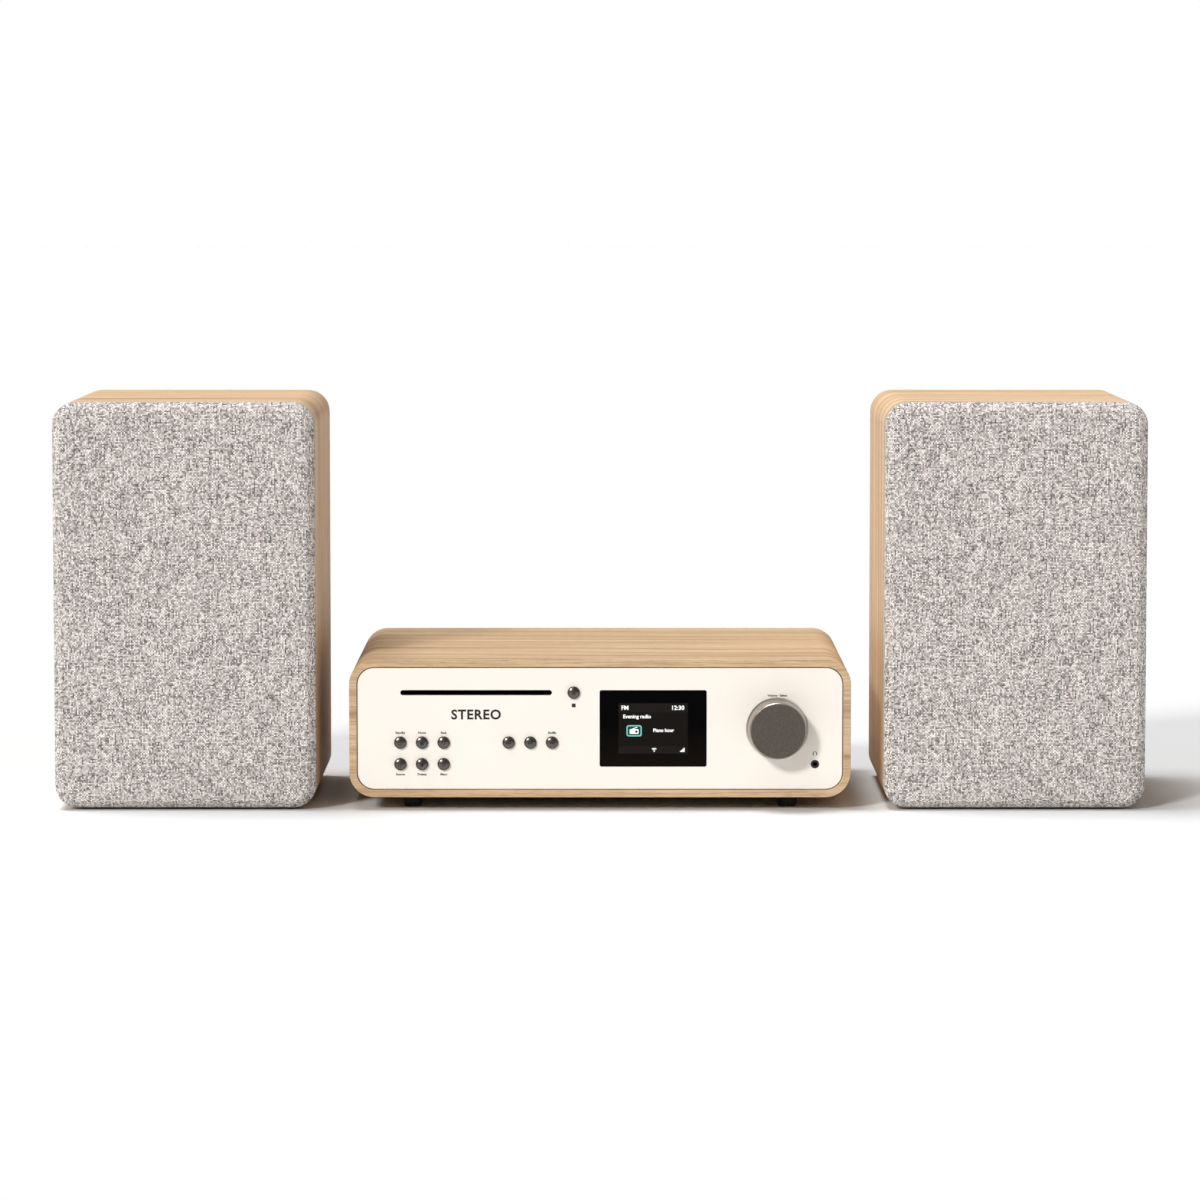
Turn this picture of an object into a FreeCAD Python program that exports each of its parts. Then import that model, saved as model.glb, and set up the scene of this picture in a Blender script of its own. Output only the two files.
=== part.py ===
import FreeCAD, Part
import math
import os

from FreeCAD import Vector

# A mini hifi system: a receiver with a slot-loading disc player, and two bookshelf speakers beside it.
# Millimetres. +X is to the listener's right, +Y runs from the front to the back, +Z is up.
# The origin is on the table, under the middle of the whole system.

# ---------------------------------------------------------------- driving dimensions
# receiver case and feet
case_width = 420.0
case_height = 116.0
case_depth = 290.0
case_wall = 6.4
case_radius = 21.0
case_edge = 0.6
foot_height = 11.0
foot_top_radius = 8.6
foot_bottom_radius = 7.6
foot_inset_x = 52.0
foot_inset_y = 34.0

# front panel and what shows on it
panel_gap = 0.7
panel_thick = 3.0
panel_recess = 0.5
panel_edge = 0.4
grid_pitch = 18.15
first_column_inset = 35.7
control_margin = 20.8
slot_columns = 7
eject_column = 8
slot_height = 4.5
button_radius = 5.0
button_clearance = 0.3
button_proud = 2.2
button_dome = 1.2
button_flange_radius = 6.2
button_flange_thick = 1.2
button_stem_radius = 2.4
button_travel = 0.8
window_width = 89.6
window_height = 64.4
window_radius = 1.8
window_thick = 2.0
window_centre_x = 44.5
window_ledge = 3.0
knob_inset_x = 54.5
knob_base_radius = 25.2
knob_front_radius = 23.6
knob_length = 22.0
knob_wall = 2.6
knob_gap = 0.3
knob_travel = 0.5
knob_recess_depth = 1.2
knob_recess_clearance = 0.9
jack_inset_x = 22.8
jack_barrel_radius = 3.5
jack_bore_radius = 1.8
jack_bore_depth = 14.0

# boards, encoder and running fits
board_stand = 8.0
board_thick = 1.6
board_margin = 13.0
board_lift = 6.0
fin_count = 13
fin_pitch = 8.0
fin_thick = 2.0
fin_height = 34.0
switch_size = 6.0
switch_height = 3.5
display_module_width = 70.0
display_module_height = 52.0
shaft_radius = 3.0
running_clearance = 0.05
encoder_size = 14.0
encoder_depth = 7.0
bushing_radius = 4.5
rotor_radius = 5.7
rotor_thick = 3.0
press_clearance = 0.1

# chassis and rear
tray_thick = 1.2
tray_flange = 14.0
tray_lip = 7.0
rear_panel_thick = 2.0
rear_panel_recess = 8.0
rear_panel_gap = 0.3
cleat_depth = 12.0
cleat_drop = 6.0
socket_reach = 10.0
screw_radius = 2.0
screw_head_radius = 3.9
screw_head_thick = 2.2
screw_hole_clearance = 0.2
speaker_socket_bore = 2.05
speaker_socket_depth = 16.0
speaker_socket_pitch = 19.0

# disc player
disc_radius = 60.0
disc_thick = 1.2
throat_wall = 1.5
throat_depth = 10.0
roller_radius = 5.0
roller_waist = 4.2
roller_shaft_radius = 1.5
roller_set_back = 31.0
disc_set_back = 100.0
deck_thick = 1.5
deck_drop = 6.6
deck_side_clearance = 5.0
deck_wall = 2.0
deck_leg_radius = 4.0
traverse_half_width = 50.0
traverse_clearance = 1.5
pivot_radius = 1.5
pivot_drop = 4.0
turntable_radius = 15.0
turntable_thick = 2.4
spindle_radius = 1.0
motor_radius = 13.0
motor_height = 8.0
hub_radius = 7.3
hub_height = 2.4
sled_length = 24.0
lens_set_back = 7.0
sled_height = 8.0
sled_travel = 36.0
rod_radius = 1.5
rod_offset = 20.0
lead_screw_radius = 2.0
lead_screw_offset = 31.0
clamp_gap = 0.1
clamp_arm_length = 66.0
clamp_arm_thick = 1.6
clamp_arm_height = 9.0
clamp_puck_radius = 13.0

# speakers
speaker_width = 219.0
speaker_height = 340.0
speaker_depth = 245.0
speaker_radius = 19.0
speaker_gap = 28.0
speaker_set_forward = 3.0
cabinet_wall = 12.0
cabinet_edge = 0.8
pad_height = 2.0
pad_radius = 8.0
pad_inset = 30.0
baffle_thick = 15.0
back_thick = 12.0
back_recess = 3.0
grille_thick = 14.0
grille_chamfer = 6.5
grille_rim = 26.0
grille_bar_height = 10.0
cloth_thick = 1.0
peg_radius = 3.0
peg_length = 7.0
peg_clearance = 0.35
peg_inset = 20.0
woofer_flange_radius = 67.0
woofer_flange_thick = 4.0
surround_outer = 61.0
surround_roll = 4.0
cone_radius = 49.0
cone_depth = 27.0
cone_thick = 0.8
cone_travel = 3.0
former_clearance = 5.0
coil_radius = 13.5
magnet_radius = 45.0
magnet_thick = 18.0
basket_depth = 45.0
tweeter_radius = 47.0
tweeter_thick = 3.5
dome_radius = 12.5
port_radius = 22.0
port_wall = 2.0
port_length = 110.0
port_flange_radius = 31.0
terminal_width = 84.0
terminal_height = 58.0
terminal_centre_height = 90.0
crossover_height = 42.0
crossover_lift = 3.0

# ---------------------------------------------------------------- places worked out from them
system_front = min(-(knob_length + knob_gap - panel_recess), -speaker_set_forward)
system_back = max(case_depth + socket_reach - rear_panel_recess, speaker_depth - speaker_set_forward)
receiver_front = -(system_front + system_back) / 2
receiver_back = receiver_front + case_depth

case_bottom = foot_height
case_mid = case_bottom + case_height / 2
inner_half_width = case_width / 2 - case_wall
inner_bottom = case_bottom + case_wall
inner_top = case_bottom + case_height - case_wall
inner_radius = case_radius - case_wall

panel_front = receiver_front + panel_recess
panel_back = panel_front + panel_thick
panel_half_width = inner_half_width - panel_gap
panel_bottom = inner_bottom + panel_gap
panel_top = inner_top - panel_gap
first_column = -panel_half_width + first_column_inset
low_row = panel_bottom + control_margin
high_row = low_row + grid_pitch
slot_z = panel_top - control_margin
slot_x = first_column + slot_columns * grid_pitch / 2
slot_width = slot_columns * grid_pitch
knob_x = panel_half_width - knob_inset_x
jack_x = panel_half_width - jack_inset_x
knob_base = panel_front - knob_gap
knob_front = knob_base - knob_length
recess_floor = panel_front + knob_recess_depth
board_front = panel_back + board_stand
board_back = board_front + board_thick

button_places = {
    "power_button": (first_column, high_row),
    "home_button": (first_column + grid_pitch, high_row),
    "back_button": (first_column + 2 * grid_pitch, high_row),
    "source_button": (first_column, low_row),
    "preset_button": (first_column + grid_pitch, low_row),
    "menu_button": (first_column + 2 * grid_pitch, low_row),
    "previous_button": (first_column + 5 * grid_pitch, high_row),
    "play_button": (first_column + 6 * grid_pitch, high_row),
    "next_button": (first_column + 7 * grid_pitch, high_row),
    "eject_button": (first_column + eject_column * grid_pitch, slot_z),
}

tray_top = inner_bottom + tray_thick
tray_half_width = inner_half_width - inner_radius
rear_face = receiver_back - rear_panel_recess
rear_inside = rear_face - rear_panel_thick
foot_places = [
    (sx * (case_width / 2 - foot_inset_x), y)
    for sx in (-1, 1)
    for y in (receiver_front + foot_inset_y, receiver_back - foot_inset_y)
]
rear_flange_screws = [(x * tray_half_width, tray_top + tray_flange / 2) for x in (-0.85, -0.2, 0.3, 0.85)]
rear_cleat_screws = [(x * tray_half_width, inner_top - cleat_drop) for x in (-0.6, 0.6)]
speaker_socket_places = [(60.0 + i * speaker_socket_pitch, case_mid - 22.0) for i in range(4)]
line_socket_places = [(x, z) for x in (-20.0, 0.0) for z in (case_mid - 28.0, case_mid - 10.0)]
aerial_place = (165.0, case_mid + 20.0)
inlet_place = (-150.0, case_mid - 26.0)

disc_y = receiver_front + disc_set_back
roller_y = receiver_front + roller_set_back
disc_bottom = slot_z - disc_thick / 2
roller_z = disc_bottom - roller_radius
deck_top = disc_bottom - deck_drop
deck_bottom = deck_top - deck_thick
deck_half_width = disc_radius + deck_side_clearance
deck_front = panel_back + throat_depth + 0.5
sled_z = deck_bottom - 1.5 - sled_height / 2
sled_front = disc_y + motor_radius + 3.0
rod_start = sled_front - 3.0
rod_end = sled_front + sled_length + sled_travel + 1.0
roller_window_end = roller_y + roller_radius + 2.0
traverse_front = roller_window_end + 3.0 + traverse_clearance
traverse_end = rod_end + 15.0
traverse_pivot_y = traverse_end - 6.0
traverse_pivot_z = deck_bottom - pivot_drop
deck_end = traverse_end + traverse_clearance + 9.0
clamp_pivot_y = disc_y + clamp_arm_length
clamp_pivot_z = disc_bottom + clamp_arm_height

speaker_front = receiver_front - speaker_set_forward
speaker_back = speaker_front + speaker_depth
cabinet_front = speaker_front + grille_thick
speaker_offset = case_width / 2 + speaker_gap + speaker_width / 2
speaker_bottom = pad_height
speaker_mid = speaker_bottom + speaker_height / 2
baffle_back = cabinet_front + baffle_thick
back_face = speaker_back - back_recess
back_inside = back_face - back_thick
driver_gap = (speaker_height - 2 * (cabinet_wall + woofer_flange_radius + tweeter_radius)) / 3
woofer_z = speaker_bottom + cabinet_wall + driver_gap + woofer_flange_radius
tweeter_z = woofer_z + woofer_flange_radius + driver_gap + tweeter_radius
bar_z = woofer_z + woofer_flange_radius + driver_gap / 2
port_z = tweeter_z
terminal_z = speaker_bottom + terminal_centre_height
sides = {"left": -1, "right": 1}

parts_folder = "parts"


# ---------------------------------------------------------------- shape helpers
def box(x, y, z):
    """A block between the two ends of each of x, y and z."""
    return Part.makeBox(x[1] - x[0], y[1] - y[0], z[1] - z[0], Vector(x[0], y[0], z[0]))


def rod_y(x, z, y0, y1, radius):
    return Part.makeCylinder(radius, y1 - y0, Vector(x, y0, z), Vector(0, 1, 0))


def rod_z(x, y, z0, z1, radius):
    return Part.makeCylinder(radius, z1 - z0, Vector(x, y, z0), Vector(0, 0, 1))


def rod_x(y, z, x0, x1, radius):
    return Part.makeCylinder(radius, x1 - x0, Vector(x0, y, z), Vector(1, 0, 0))


def rounded_slab(width, height, radius, x, z, y0, y1):
    """An upright slab with round corners, seen from the front, from depth y0 to y1."""
    w, h = width / 2, height / 2
    edges = []
    corners = [(1, 1, 0), (-1, 1, 90), (-1, -1, 180), (1, -1, 270)]
    for i, (sx, sz, start) in enumerate(corners):
        centre = Vector(x + sx * (w - radius), y0, z + sz * (h - radius))
        at = [
            centre + Vector(radius * math.cos(math.radians(a)), 0, radius * math.sin(math.radians(a)))
            for a in (start, start + 45, start + 90)
        ]
        if edges:
            edges.append(Part.LineSegment(last, at[0]).toShape())
        else:
            first = at[0]
        edges.append(Part.Arc(*at).toShape())
        last = at[2]
    edges.append(Part.LineSegment(last, first).toShape())
    return Part.Face(Part.Wire(edges)).extrude(Vector(0, y1 - y0, 0))


def turned_y(points, x, z, y):
    """The solid turned about an axis along Y: points are (radius, depth behind y)."""
    corners = [Vector(x + r, y + d, z) for r, d in points]
    face = Part.Face(Part.makePolygon(corners + corners[:1]))
    return face.revolve(Vector(x, y, z), Vector(0, 1, 0), 360)


def turned_arc_y(edges, x, z, y):
    """As turned_y, from edges: each is 2 points for a line or 3 for an arc."""
    shapes = []
    for edge in edges:
        at = [Vector(x + r, y + d, z) for r, d in edge]
        shapes.append((Part.LineSegment(*at) if len(at) == 2 else Part.Arc(*at)).toShape())
    return Part.Face(Part.Wire(shapes)).revolve(Vector(x, y, z), Vector(0, 1, 0), 360)


def edges_at(shape, y):
    """The edges that lie in the upright plane at depth y."""
    return [e for e in shape.Edges if abs(e.BoundBox.YMin - y) < 1e-6 and abs(e.BoundBox.YMax - y) < 1e-6]


def cut_all(shape, tools):
    for tool in tools:
        shape = shape.cut(tool)
    return shape


def joined(shapes):
    """One solid from pieces that touch or overlap."""
    result = shapes[0].multiFuse(shapes[1:]) if len(shapes) > 1 else shapes[0]
    return result.removeSplitter()


def screw_y(x, z, seat, length):
    """A pan-head screw: its head is behind the plane y = seat and its shank runs forwards."""
    head = rod_y(x, z, seat, seat + screw_head_thick, screw_head_radius)
    shank = rod_y(x, z, seat - length, seat, screw_radius)
    return joined([head, shank])


# ---------------------------------------------------------------- receiver: case and front
def case_wrap():
    """The veneered wrap: top, bottom and sides in one, open at the front and back."""
    outer = rounded_slab(case_width, case_height, case_radius, 0, case_mid, receiver_front, receiver_back)
    height = inner_top - inner_bottom
    y = (receiver_front, receiver_back)
    inner = rounded_slab(2 * inner_half_width, height, inner_radius, 0, case_mid, *y)
    wrap = outer.cut(inner)
    edge = min(case_edge, case_wall / 3)
    wrap = wrap.makeFillet(edge, edges_at(wrap, receiver_front) + edges_at(wrap, receiver_back))
    hole = screw_radius + screw_hole_clearance
    wrap = cut_all(wrap, [rod_z(x, y, case_bottom, inner_bottom, hole) for x, y in foot_places])
    y = (rear_inside - cleat_depth, rear_inside)
    cleats = [box((x - 9, x + 9), y, (z - cleat_drop, inner_top)) for x, z in rear_cleat_screws]
    wrap = joined([wrap] + cleats)
    return cut_all(wrap, [rod_y(x, z, y[0] + 3, y[1], screw_radius) for x, z in rear_cleat_screws])


def panel_posts():
    """Posts on the back of the front panel that carry the control board, as (x, z)."""
    ends = (first_column - board_margin + 4, knob_x + 10)
    return [
        (ends[0], low_row - 9),
        (first_column + 3.5 * grid_pitch, low_row),
        (first_column + 6 * grid_pitch, low_row - 9),
        (window_centre_x - window_width / 2 + 4, panel_bottom + 12),
        (window_centre_x + window_width / 2 - 4, panel_bottom + 12),
        (ends[1], low_row - 9),
    ]


def front_panel():
    height = panel_top - panel_bottom
    radius = inner_radius - panel_gap
    panel = rounded_slab(2 * panel_half_width, height, radius, 0, case_mid, panel_front, panel_back)
    panel = panel.makeFillet(min(panel_edge, panel_thick / 3), edges_at(panel, panel_front))
    posts = [rod_y(x, z, panel_back, board_front, 3.0) for x, z in panel_posts()]
    panel = joined([panel] + posts)
    slot = rounded_slab(
        slot_width, slot_height, slot_height / 2 - 0.01, slot_x, slot_z, panel_front, panel_back
    )
    window = rounded_slab(
        window_width + 0.2,
        window_height + 0.2,
        window_radius,
        window_centre_x,
        case_mid,
        panel_front,
        panel_front + window_thick,
    )
    half_width = window_width / 2 - window_ledge
    half_height = window_height / 2 - window_ledge
    ledge = box(
        (window_centre_x - half_width, window_centre_x + half_width),
        (panel_front, panel_back),
        (case_mid - half_height, case_mid + half_height),
    )
    recess = rod_y(knob_x, case_mid, panel_front, recess_floor, knob_base_radius + knob_recess_clearance)
    bushing = rod_y(knob_x, case_mid, panel_front, panel_back, bushing_radius + 0.1)
    jack = rod_y(jack_x, low_row, panel_front, panel_back, jack_barrel_radius + 0.1)
    buttons = [
        rod_y(x, z, panel_front, panel_back, button_radius + button_clearance)
        for x, z in button_places.values()
    ]
    return cut_all(panel, [slot, window, ledge, recess, bushing, jack] + buttons)


def button(place):
    """A domed cap, a flange that keeps it behind the panel, and a stem that presses the switch."""
    x, z = place
    flange_front = press_clearance
    flange_back = flange_front + button_flange_thick
    stem_back = board_stand - switch_height - button_travel - press_clearance
    face = -panel_thick - button_proud
    r = button_radius
    rise = button_dome
    sphere = (r * r + rise * rise) / (2 * rise)
    half = r / 2
    middle = face - (math.sqrt(sphere * sphere - half * half) - (sphere - rise))
    edges = [
        [(0, stem_back), (button_stem_radius, stem_back)],
        [(button_stem_radius, stem_back), (button_stem_radius, flange_back)],
        [(button_stem_radius, flange_back), (button_flange_radius, flange_back)],
        [(button_flange_radius, flange_back), (button_flange_radius, flange_front)],
        [(button_flange_radius, flange_front), (r, flange_front)],
        [(r, flange_front), (r, face)],
        [(r, face), (half, middle), (0, face - rise)],
        [(0, face - rise), (0, stem_back)],
    ]
    return turned_arc_y(edges, x, z, panel_back)


def display_window():
    return rounded_slab(
        window_width,
        window_height,
        window_radius - 0.1,
        window_centre_x,
        case_mid,
        panel_front,
        panel_front + window_thick,
    )


def slot_throat():
    """The dark guide between the slot and the disc player."""
    y = (panel_back, panel_back + throat_depth)
    outer = box(
        (slot_x - slot_width / 2 - throat_wall, slot_x + slot_width / 2 + throat_wall),
        y,
        (slot_z - slot_height / 2 - throat_wall, slot_z + slot_height / 2 + throat_wall),
    )
    inner = box(
        (slot_x - slot_width / 2, slot_x + slot_width / 2),
        y,
        (slot_z - slot_height / 2, slot_z + slot_height / 2),
    )
    return outer.cut(inner)


def control_board():
    """The key board with its switches, the display board and module, and the encoder's housing."""
    y = (board_front, board_back)
    low = low_row - board_margin
    strip_top = high_row + 9
    strip = box((first_column - board_margin, knob_x + 20), y, (low, strip_top))
    eject_x = button_places["eject_button"][0]
    display_board = box((eject_x - 8, window_centre_x + window_width / 2 + 2), y, (strip_top, slot_z + 8))
    encoder_pad = box((knob_x - 16, knob_x + 16), y, (low, case_mid + 16))
    key_board = joined([strip, encoder_pad])
    s = switch_size / 2
    switches = [
        box((x - s, x + s), (board_front - switch_height, board_front), (z - s, z + s))
        for x, z in button_places.values()
    ]
    module = box(
        (window_centre_x - display_module_width / 2, window_centre_x + display_module_width / 2),
        (panel_back + 0.5, board_front),
        (case_mid - display_module_height / 2, case_mid + display_module_height / 2),
    )
    return [key_board, display_board, module] + switches + encoder_housing()


def encoder_cavity():
    """The depth at which the rotor's chamber starts, and where it ends."""
    start = board_front - encoder_depth + 1.4
    return start, board_front - 0.8


def encoder_housing():
    """The encoder's case with its threaded bushing, and the nut that clamps it to the panel."""
    e = encoder_size / 2
    front = board_front - encoder_depth
    case = box((knob_x - e, knob_x + e), (front, board_front), (case_mid - e, case_mid + e))
    bushing = rod_y(knob_x, case_mid, recess_floor - 3.5, front, bushing_radius)
    start, end = encoder_cavity()
    chamber = rod_y(knob_x, case_mid, start, end, rotor_radius + 0.3)
    bore = rod_y(knob_x, case_mid, recess_floor - 3.5, end, shaft_radius + running_clearance)
    nut = rod_y(knob_x, case_mid, recess_floor - 2.0, recess_floor, 6.5)
    nut = nut.cut(rod_y(knob_x, case_mid, recess_floor - 2.0, recess_floor, bushing_radius))
    return [cut_all(joined([case, bushing]), [chamber, bore]), nut]


def encoder_rotor():
    start, end = encoder_cavity()
    middle = (start + end) / 2
    y = (middle - rotor_thick / 2, middle + rotor_thick / 2)
    ring = rod_y(knob_x, case_mid, y[0], y[1], rotor_radius)
    return ring.cut(rod_y(knob_x, case_mid, y[0], y[1], shaft_radius + running_clearance))


def knob_bore_end():
    """How deep the shaft sits in the knob, from the knob's base."""
    return knob_front + knob_wall + 1.0


def encoder_shaft():
    end = encoder_cavity()[1] - knob_travel - 0.2
    return rod_y(knob_x, case_mid, knob_bore_end(), end, shaft_radius)


def volume_knob():
    """A hollow turned knob, a little narrower at its front, with a boss for the shaft."""
    edge = 0.7
    inside = knob_wall
    boss_end = recess_floor - 3.5 - 1.2 - knob_front
    bore = knob_bore_end() - knob_front
    hollow = knob_base_radius - knob_wall
    points = [
        (0, 0),
        (knob_front_radius - edge, 0),
        (knob_front_radius, edge),
        (knob_base_radius, knob_length),
        (hollow, knob_length),
        (hollow, inside),
        (shaft_radius + 3.5, inside),
        (shaft_radius + 3.5, boss_end),
        (shaft_radius, boss_end),
        (shaft_radius, bore),
        (0, bore),
    ]
    return turned_y(points, knob_x, case_mid, knob_front)


def headphone_jack():
    y = (panel_back, panel_front + jack_bore_depth + 2)
    body = box((jack_x - 6, jack_x + 6), y, (low_row - 5.5, low_row + 5.5))
    barrel = rod_y(jack_x, low_row, panel_front + 0.3, panel_back, jack_barrel_radius)
    bore = rod_y(jack_x, low_row, panel_front, panel_front + 0.3 + jack_bore_depth, jack_bore_radius)
    return joined([body, barrel]).cut(bore)


# ---------------------------------------------------------------- receiver: chassis and rear
def base_tray():
    """The folded steel chassis on the floor of the case."""
    front = panel_back
    full = (-tray_half_width, tray_half_width)
    floor = box(full, (front, rear_inside), (inner_bottom, tray_top))
    lip = box(full, (front, front + tray_thick), (inner_bottom, tray_top + tray_lip))
    sides_up = [
        box((x, x + tray_thick), (front, rear_inside), (inner_bottom, tray_top + 8))
        for x in (-tray_half_width, tray_half_width - tray_thick)
    ]
    back = box(full, (rear_inside - tray_thick, rear_inside), (inner_bottom, tray_top + tray_flange))
    stands = [rod_z(x, y, tray_top, tray_top + board_lift, 3.0) for x, y in board_stands()]
    tray = joined([floor, lip, back] + sides_up + stands)
    holes = [rod_z(x, y, inner_bottom, tray_top, screw_radius) for x, y in foot_places]
    holes += [rod_y(x, z, rear_inside - tray_thick, rear_inside, screw_radius) for x, z in rear_flange_screws]
    return cut_all(tray, holes)


def board_depths():
    """Where both boards start and end: clear of the foot screws at the front and back."""
    return foot_places[0][1] + 22, foot_places[1][1] - 12


def main_board_area():
    return (-10.0, tray_half_width - 12), board_depths()


def power_board_area():
    half = deck_half_width - 2 * deck_leg_radius - 7
    return (slot_x - half, slot_x + half), board_depths()


def board_stands():
    """The pillars under both boards, as (x, y)."""
    places = []
    for (x0, x1), (y0, y1) in (main_board_area(), power_board_area()):
        places += [(x, y) for x in (x0 + 6, x1 - 6) for y in (y0 + 6, y1 - 6)]
    return places


def main_board():
    """The amplifier and radio board with its capacitors, chips and screening can."""
    (x0, x1), (y0, y1) = main_board_area()
    top = tray_top + board_lift + board_thick
    board = box((x0, x1), (y0, y1), (tray_top + board_lift, top))
    cans = [rod_z(x0 + 25 + 22 * i, y1 - 55, top, top + 28, 8.0) for i in range(4)]
    starts = [x0 + 20 + 30 * i for i in range(4)]
    chips = [box((x, x + 16), (y0 + 20, y0 + 36), (top, top + 2.2)) for x in starts]
    screen = box((x1 - 60, x1 - 15), (y0 + 55, y0 + 95), (top, top + 6))
    return joined([board] + cans + chips + [screen])


def heat_sink():
    """The finned heat sink at the back of the main board."""
    (x0, _), (_, y1) = main_board_area()
    top = tray_top + board_lift + board_thick
    y = (y1 - 38, y1 - 8)
    starts = [x0 + 20 + fin_pitch * i for i in range(fin_count)]
    base = box((starts[0], starts[-1] + fin_thick), y, (top, top + 5))
    fins = [box((x, x + fin_thick), y, (top + 5, top + fin_height)) for x in starts]
    return joined([base] + fins)


def power_supply():
    """The mains board: transformer, reservoir capacitors and filter coil."""
    (x0, x1), (y0, y1) = power_board_area()
    top = tray_top + board_lift + board_thick
    board = box((x0, x1), (y0, y1), (tray_top + board_lift, top))
    mid = (x0 + x1) / 2
    core = box((mid - 22, mid + 22), (y1 - 95, y1 - 55), (top, top + 30))
    winding = box((mid - 15, mid + 15), (y1 - 101, y1 - 49), (top + 6, top + 24))
    cans = [rod_z(mid - 24 + 24 * i, y0 + 22, top, top + 26, 9.0) for i in range(3)]
    coil = rod_z(mid - 20, y1 - 22, top, top + 14, 12.0)
    return joined([board, core, winding, coil] + cans)


def rear_panel():
    gap = rear_panel_gap
    panel = rounded_slab(
        2 * (inner_half_width - gap),
        inner_top - inner_bottom - 2 * gap,
        inner_radius - gap,
        0,
        case_mid,
        rear_inside,
        rear_face,
    )
    y = (rear_inside, rear_face)
    screw = screw_radius + screw_hole_clearance
    holes = [rod_y(x, z, y[0], y[1], screw) for x, z in rear_flange_screws + rear_cleat_screws]
    holes += [rod_y(x, z, y[0], y[1], 4.7) for x, z in speaker_socket_places + line_socket_places]
    holes.append(rod_y(*aerial_place, y[0], y[1], 4.9))
    x, z = inlet_place
    holes.append(box((x - 10.2, x + 10.2), y, (z - 6.2, z + 6.2)))
    for i in range(9):
        x = slot_x - 60 + 15 * i
        holes.append(rounded_slab(3.0, 26.0, 1.49, x, case_mid + 22, y[0], y[1]))
    return cut_all(panel, holes)


def speaker_socket(x, z, seat):
    """A 4 mm socket: an insulated collar outside the plane y = seat and a body inside it."""
    points = [
        (speaker_socket_bore, 8.0),
        (6.0, 8.0),
        (6.5, 7.5),
        (6.5, 1.5),
        (7.8, 1.5),
        (7.8, 0),
        (4.5, 0),
        (4.5, 8.0 - speaker_socket_depth - 2),
        (0, 8.0 - speaker_socket_depth - 2),
        (0, 8.0 - speaker_socket_depth),
        (speaker_socket_bore, 8.0 - speaker_socket_depth),
    ]
    return turned_y(points, x, z, seat)


def line_socket(x, z):
    """A phono socket: its outer shell is a 8.3 mm ring round a bored insulator."""
    points = [
        (1.6, 8.0),
        (3.3, 8.0),
        (3.3, 9.0),
        (4.15, 9.0),
        (4.15, 1.2),
        (6.2, 1.2),
        (6.2, 0),
        (4.5, 0),
        (4.5, -10),
        (0, -10),
        (0, -2),
        (1.6, -2),
    ]
    return turned_y(points, x, z, rear_face)


def aerial_socket():
    """A screw-on aerial socket with its washer."""
    points = [
        (0.6, socket_reach - 1),
        (3.4, socket_reach - 1),
        (3.4, socket_reach),
        (4.75, socket_reach),
        (4.75, 2.0),
        (6.5, 2.0),
        (6.5, 0),
        (4.75, 0),
        (4.75, -9),
        (0, -9),
        (0, -4),
        (0.6, -4),
    ]
    return turned_y(points, *aerial_place, rear_face)


def mains_inlet():
    """A figure-of-eight inlet: flange, body, recess and two pins."""
    x, z = inlet_place
    flange = box((x - 13, x + 13), (rear_face, rear_face + 1.5), (z - 8.5, z + 8.5))
    body = box((x - 10, x + 10), (rear_face - 16, rear_face), (z - 6, z + 6))
    recess = rounded_slab(16.0, 8.6, 4.29, x, z, rear_face - 13, rear_face + 1.5)
    pins = [rod_y(x + s * 4.3, z, rear_face - 14, rear_face - 2, 1.2) for s in (-1, 1)]
    return joined([joined([flange, body]).cut(recess)] + pins)


def rear_sockets():
    solids = [speaker_socket(x, z, rear_face) for x, z in speaker_socket_places]
    solids += [line_socket(x, z) for x, z in line_socket_places]
    return solids + [aerial_socket(), mains_inlet()]


def receiver_foot(x, y):
    """A moulded foot with a sunk hole for its screw; its narrow end stands on the table."""
    sink = foot_height * 0.5
    outer = Part.makeCone(foot_bottom_radius, foot_top_radius, foot_height, Vector(x, y, 0))
    head = rod_z(x, y, 0, sink, screw_head_radius + 0.4)
    hole = rod_z(x, y, 0, foot_height, screw_radius + screw_hole_clearance)
    return cut_all(outer, [head, hole])


def foot_screw(x, y):
    seat = foot_height * 0.5
    head = rod_z(x, y, seat - screw_head_thick, seat, screw_head_radius)
    return joined([head, rod_z(x, y, seat, tray_top + 1.5, screw_radius)])


def case_screws():
    solids = [foot_screw(x, y) for x, y in foot_places]
    return solids + [screw_y(x, z, rear_face, 8.0) for x, z in rear_flange_screws + rear_cleat_screws]


# ---------------------------------------------------------------- receiver: disc player
def leg_places():
    x = deck_half_width - deck_leg_radius - 1
    ys = (deck_front + deck_leg_radius + 1, deck_end - deck_leg_radius - 1)
    return [(slot_x + side * x, y) for y in ys for side in (-1, 1)]


def across(inner, outer):
    """The two mirrored spans across the player, from inner to outer either side of its middle."""
    return [(slot_x - outer, slot_x - inner), (slot_x + inner, slot_x + outer)]


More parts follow.
